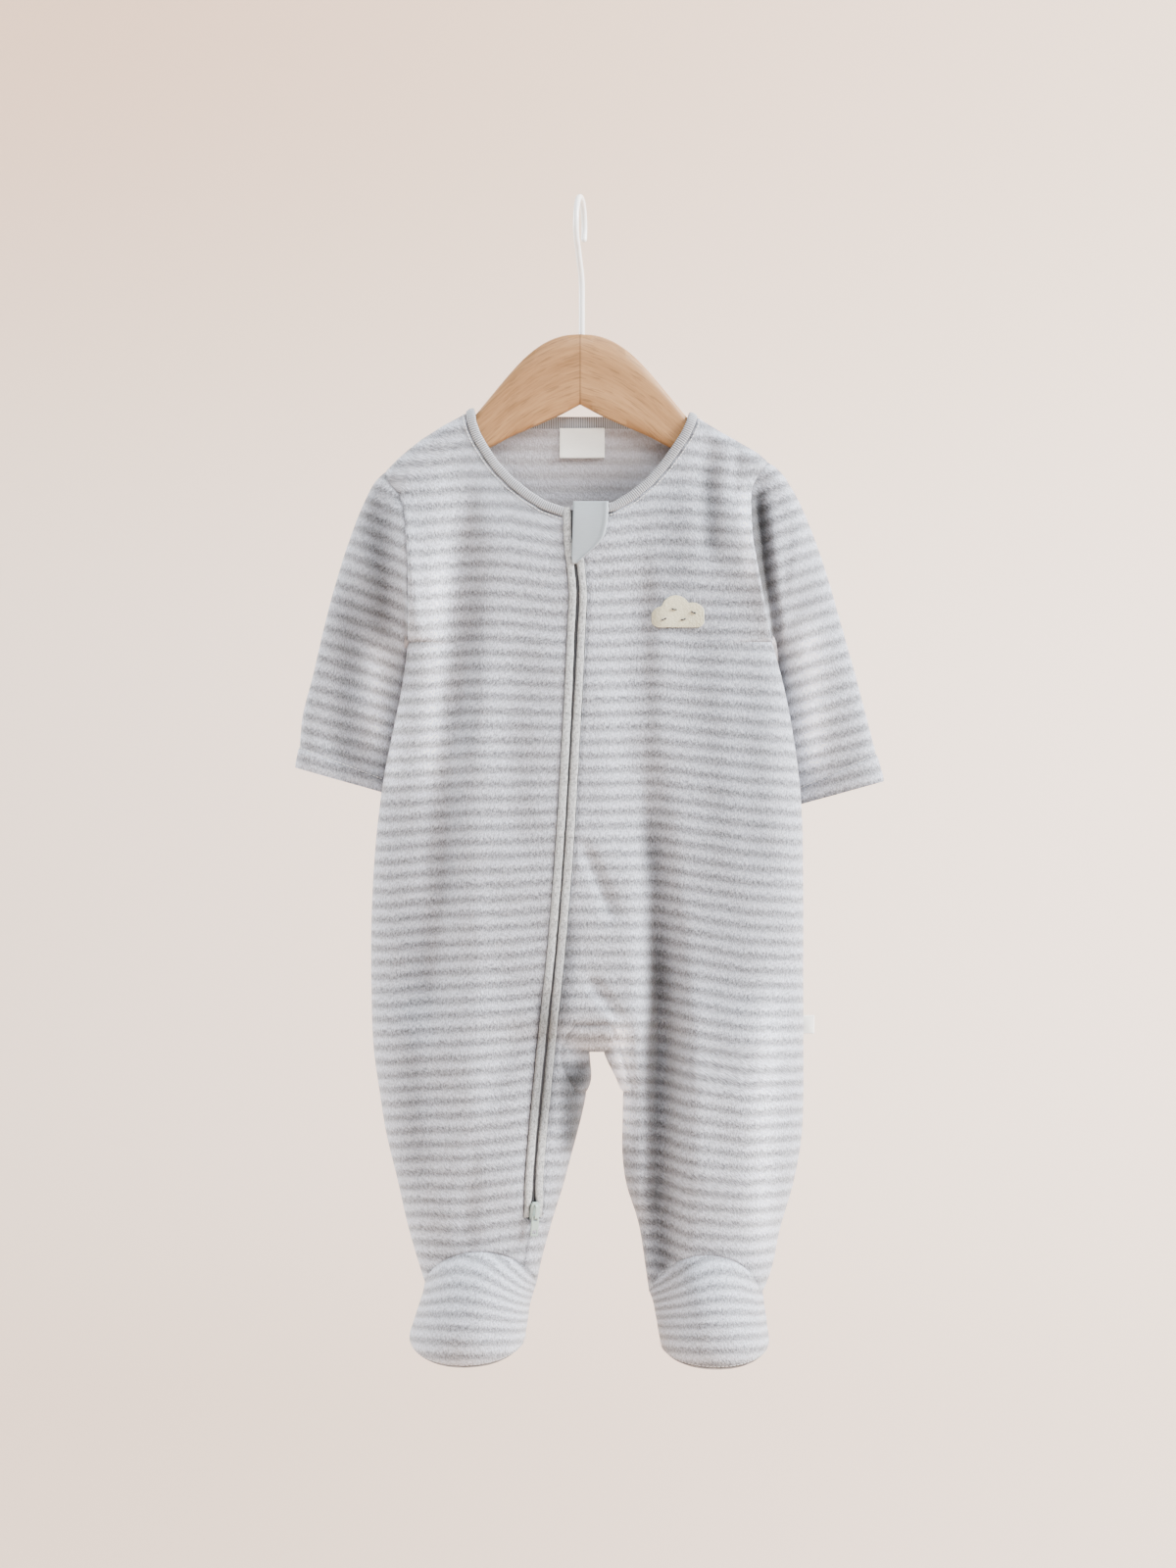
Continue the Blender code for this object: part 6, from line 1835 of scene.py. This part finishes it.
class SLEEPSUIT_OT_labels(bpy.types.Operator):
    """Adds the bare neck label and the bare side tag."""

    bl_idname = "sleepsuit.labels"
    bl_label = "Labels"

    def execute(self, context):
        look = context.scene.sleepsuit_trims
        label = kept_material("label", weave_material, look.label, 2.2, 2.2, 0.55, 0.1,
                              0.05, 0.05)
        x, z, edge, marks = label_grid(NECK_LABEL, 40, 44)
        curl = 0.8 * smooth((NECK_LABEL["foot"] + 8.0 - z) / 8.0) ** 2
        hemmed = 0.12 * smooth((z - NECK_LABEL["top"] + 3.4) / 0.5)
        top, _ = on_body("back", x, z, LABEL_FACES[0] - curl - 0.5 * (1 - edge))
        under, _ = on_body("back", x, z, LABEL_FACES[1] - curl - (0.2 + hemmed) * edge)
        piece = plate_piece("neck_label_bare", top, under, marks, label)
        as_sheet("neck_label")
        x, z, edge, marks = label_grid(SIDE_TAG, 26, 22)
        bend = 0.5 * np.sin((x - SIDE_TAG["left"] - 1.0) * 0.5) * np.sin((z + 499) * 0.22)
        half = SIDE_TAG["half_thick"] * (0.35 + 0.45 * edge)
        top, under = (np.stack([x, bend + side, z], axis=-1) for side in (-half, half))
        piece = plate_piece("side_tag_bare", top, under, marks, label)
        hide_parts("side_tag")
        return {"FINISHED"}


class SLEEPSUIT_OT_patch(bpy.types.Operator):
    """Adds the cloud patch on the chest, with its stitched rim and short stitches."""

    bl_idname = "sleepsuit.patch"
    bl_label = "Cloud patch"

    def execute(self, context):
        look = context.scene.sleepsuit_trims
        x, z, line, high, low = cloud_grid(72, 36)
        x0, z0 = PATCH_MIDDLE
        rim = np.minimum(np.minimum(high - z, z - low), 6.0)
        sides = np.minimum(x - line[0], line[-1] - x)
        near = np.minimum(rim, sides + 0.4)
        puff = np.sqrt(np.clip(near / 2.4, 0, 1)) * 0.75
        ridge = 0.22 * np.exp(-(((near - 0.8) / 0.5) ** 2))
        tuft = 0.18 * np.sin(x * 2.9 + 1.3 * np.sin(z * 1.9)) * np.sin(z * 2.5 + np.sin(x * 1.3))
        top, _ = on_body("front", x0 + x, z0 + z, 0.38 + puff + ridge + tuft * (near > 0.9))
        under, _ = on_body("front", x0 + x, z0 + z, PATCH_LIFT - 0.25)
        wool = kept_material("patch", patch_material, look.patch)
        marks = np.stack([x, z], axis=-1)
        piece = plate_piece("cloud_patch", top, under, marks, wool)
        as_sheet("chest_patch")
        thread = kept_material("patch_thread", thread_material, faded(look.patch, 0.93))
        outline = np.concatenate([np.stack([line, high], -1), np.stack([line, low], -1)[::-1]])
        outline = outline * 0.97
        path, normals = on_body("front", x0 + outline[:, 0], z0 + outline[:, 1], 0.7)
        closed = np.concatenate([path, path[:1]])
        stitch_row("patch_edge_stitches", closed, np.concatenate([normals, normals[:1]]), thread,
                   "patch", *STITCHES["patch"])
        dark = kept_material("patch_dark_thread", thread_material, look.dashes)
        for k, (dx, dz, run, turn) in enumerate(PATCH_DASHES):
            share = np.linspace(-0.5, 0.5, 9)
            px = x0 + dx + share * run * math.cos(turn)
            pz = z0 + dz + share * run * math.sin(turn) - 0.5 * (0.25 - share**2) * 2
            path, normals = on_body("front", px, pz, 1.6)
            stitch_row(f"patch_dash_{k + 1}", path, normals, dark, "patch", run * 0.98 / 2,
                       run * 0.52, 0.5)
        return {"FINISHED"}


class SLEEPSUIT_OT_hanger(bpy.types.Operator):
    """Adds the hanger's wood and its wire hook."""

    bl_idname = "sleepsuit.hanger"
    bl_label = "Hanger"

    def execute(self, context):
        look = context.scene.sleepsuit_hanger
        wood = kept_material("wood", wood_material, look.light, look.dark)
        rings, marks = wood_rings()
        piece = tube_piece("hanger_wood_planed", rings, wood, marks)
        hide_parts("hanger_wood")
        wire = kept_material("wire", wire_material, look.wire)
        rings = wire_rings(hook_line(), look.radius / MM)
        piece = tube_piece("hanger_hook_dipped", rings, wire)
        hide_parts("hanger_hook")
        return {"FINISHED"}


def area_light(name, place, aim, size, power, colour=(1.0, 1.0, 1.0)):
    """A square soft light that points at a place."""
    light = bpy.data.lights.new(name, "AREA")
    light.shape = "DISK"
    light.size = size
    light.energy = power
    light.color = colour
    lamp = bpy.data.objects.new(name, light)
    lamp.location = place
    lamp.rotation_euler = (Vector(aim) - Vector(place)).to_track_quat("-Z", "Y").to_euler()
    bpy.context.scene.collection.objects.link(lamp)


class SLEEPSUIT_OT_stage(bpy.types.Operator):
    """Adds the floor and wall, the soft lights and the camera."""

    bl_idname = "sleepsuit.stage"
    bl_label = "Stage"

    def execute(self, context):
        scene = context.scene
        look = scene.sleepsuit_stage
        turn = np.linspace(0, np.pi / 2, 24)
        bend_y = WALL - WALL_BEND * (1 - np.sin(turn))
        bend_z = FLOOR + WALL_BEND * (1 - np.cos(turn))
        y = np.concatenate([[-6.0, -2.0], bend_y, [WALL, WALL]])
        z = np.concatenate([[FLOOR, FLOOR], bend_z, [1.0, 4.5]])
        x = np.linspace(-6.0, 6.0, 3)
        points = np.stack(np.broadcast_arrays(x[None], y[:, None], z[:, None]), axis=-1)
        mesh = bpy.data.meshes.new("stage_sweep")
        mesh.from_pydata(points.reshape(-1, 3).tolist(), [],
                         grid_quads(*points.shape[:2])[:, ::-1].tolist())
        mesh.shade_smooth()
        mesh.materials.append(wall_material("stage_paint", look.wall, look.glow))
        sweep = bpy.data.objects.new("stage_sweep", mesh)
        scene.collection.objects.link(sweep)
        aim = (0.0, 0.0, -0.36)
        area_light("key_light", (3.9, -1.1, 2.0), aim, 2.0, look.key, (0.98, 0.99, 1.0))
        area_light("front_light", (0.7, -3.6, 2.8), aim, 2.4, look.front, (0.98, 0.99, 1.0))
        area_light("fill_light", (-3.9, 0.5, 0.8), aim, 2.0, look.fill, (0.95, 0.98, 1.0))
        world = bpy.data.worlds.new("soft_room")
        world.use_nodes = True
        air = world.node_tree.nodes["Background"]
        air.inputs["Color"].default_value = (0.97, 0.985, 1.0, 1.0)
        air.inputs["Strength"].default_value = look.air
        scene.world = world
        lens = bpy.data.cameras.new("front_camera")
        lens.sensor_width = SENSOR
        lens.lens = SENSOR * look.distance / VIEW_HEIGHT
        lens.clip_end = 40.0
        camera = bpy.data.objects.new("front_camera", lens)
        camera.location = (VIEW_MIDDLE[0], -look.distance, VIEW_MIDDLE[1])
        camera.rotation_euler = (math.pi / 2, 0.0, 0.0)
        scene.collection.objects.link(camera)
        scene.camera = camera
        return {"FINISHED"}


class SLEEPSUIT_PT_pieces(bpy.types.Panel):
    """Lists the garment's sizes and colours and the operators that build it."""

    bl_idname = "SLEEPSUIT_PT_pieces"
    bl_label = "Sleepsuit"
    bl_space_type = "VIEW_3D"
    bl_region_type = "UI"
    bl_category = "Sleepsuit"

    def draw(self, context):
        for group in GROUPS:
            box = self.layout.box()
            settings = getattr(context.scene, group)
            for field in settings.bl_rna.properties:
                if field.identifier not in ("rna_type", "name"):
                    box.prop(settings, field.identifier)
        for operator in OPERATORS:
            self.layout.operator(operator.bl_idname)


GROUPS = {
    "sleepsuit_cloth": SleepsuitCloth,
    "sleepsuit_trims": SleepsuitTrims,
    "sleepsuit_hanger": SleepsuitHanger,
    "sleepsuit_stage": SleepsuitStage,
}
OPERATORS = [
    SLEEPSUIT_OT_body, SLEEPSUIT_OT_sleeves, SLEEPSUIT_OT_feet, SLEEPSUIT_OT_zip,
    SLEEPSUIT_OT_slider, SLEEPSUIT_OT_neck, SLEEPSUIT_OT_garage, SLEEPSUIT_OT_labels,
    SLEEPSUIT_OT_patch, SLEEPSUIT_OT_hanger, SLEEPSUIT_OT_stage]


def register():
    for thing in [*GROUPS.values(), *OPERATORS, SLEEPSUIT_PT_pieces]:
        bpy.utils.register_class(thing)
    for name, group in GROUPS.items():
        setattr(bpy.types.Scene, name, bpy.props.PointerProperty(type=group))


def unregister():
    for name in GROUPS:
        delattr(bpy.types.Scene, name)
    for thing in [SLEEPSUIT_PT_pieces, *reversed(OPERATORS), *GROUPS.values()]:
        bpy.utils.unregister_class(thing)


def main():
    register()
    bpy.ops.sleepsuit.stage()
    bpy.ops.sleepsuit.body()
    bpy.ops.sleepsuit.sleeves()
    bpy.ops.sleepsuit.feet()
    bpy.ops.sleepsuit.zip()
    bpy.ops.sleepsuit.slider()
    bpy.ops.sleepsuit.neck()
    bpy.ops.sleepsuit.garage()
    bpy.ops.sleepsuit.labels()
    bpy.ops.sleepsuit.patch()
    bpy.ops.sleepsuit.hanger()


if __name__ == "__main__":
    main()
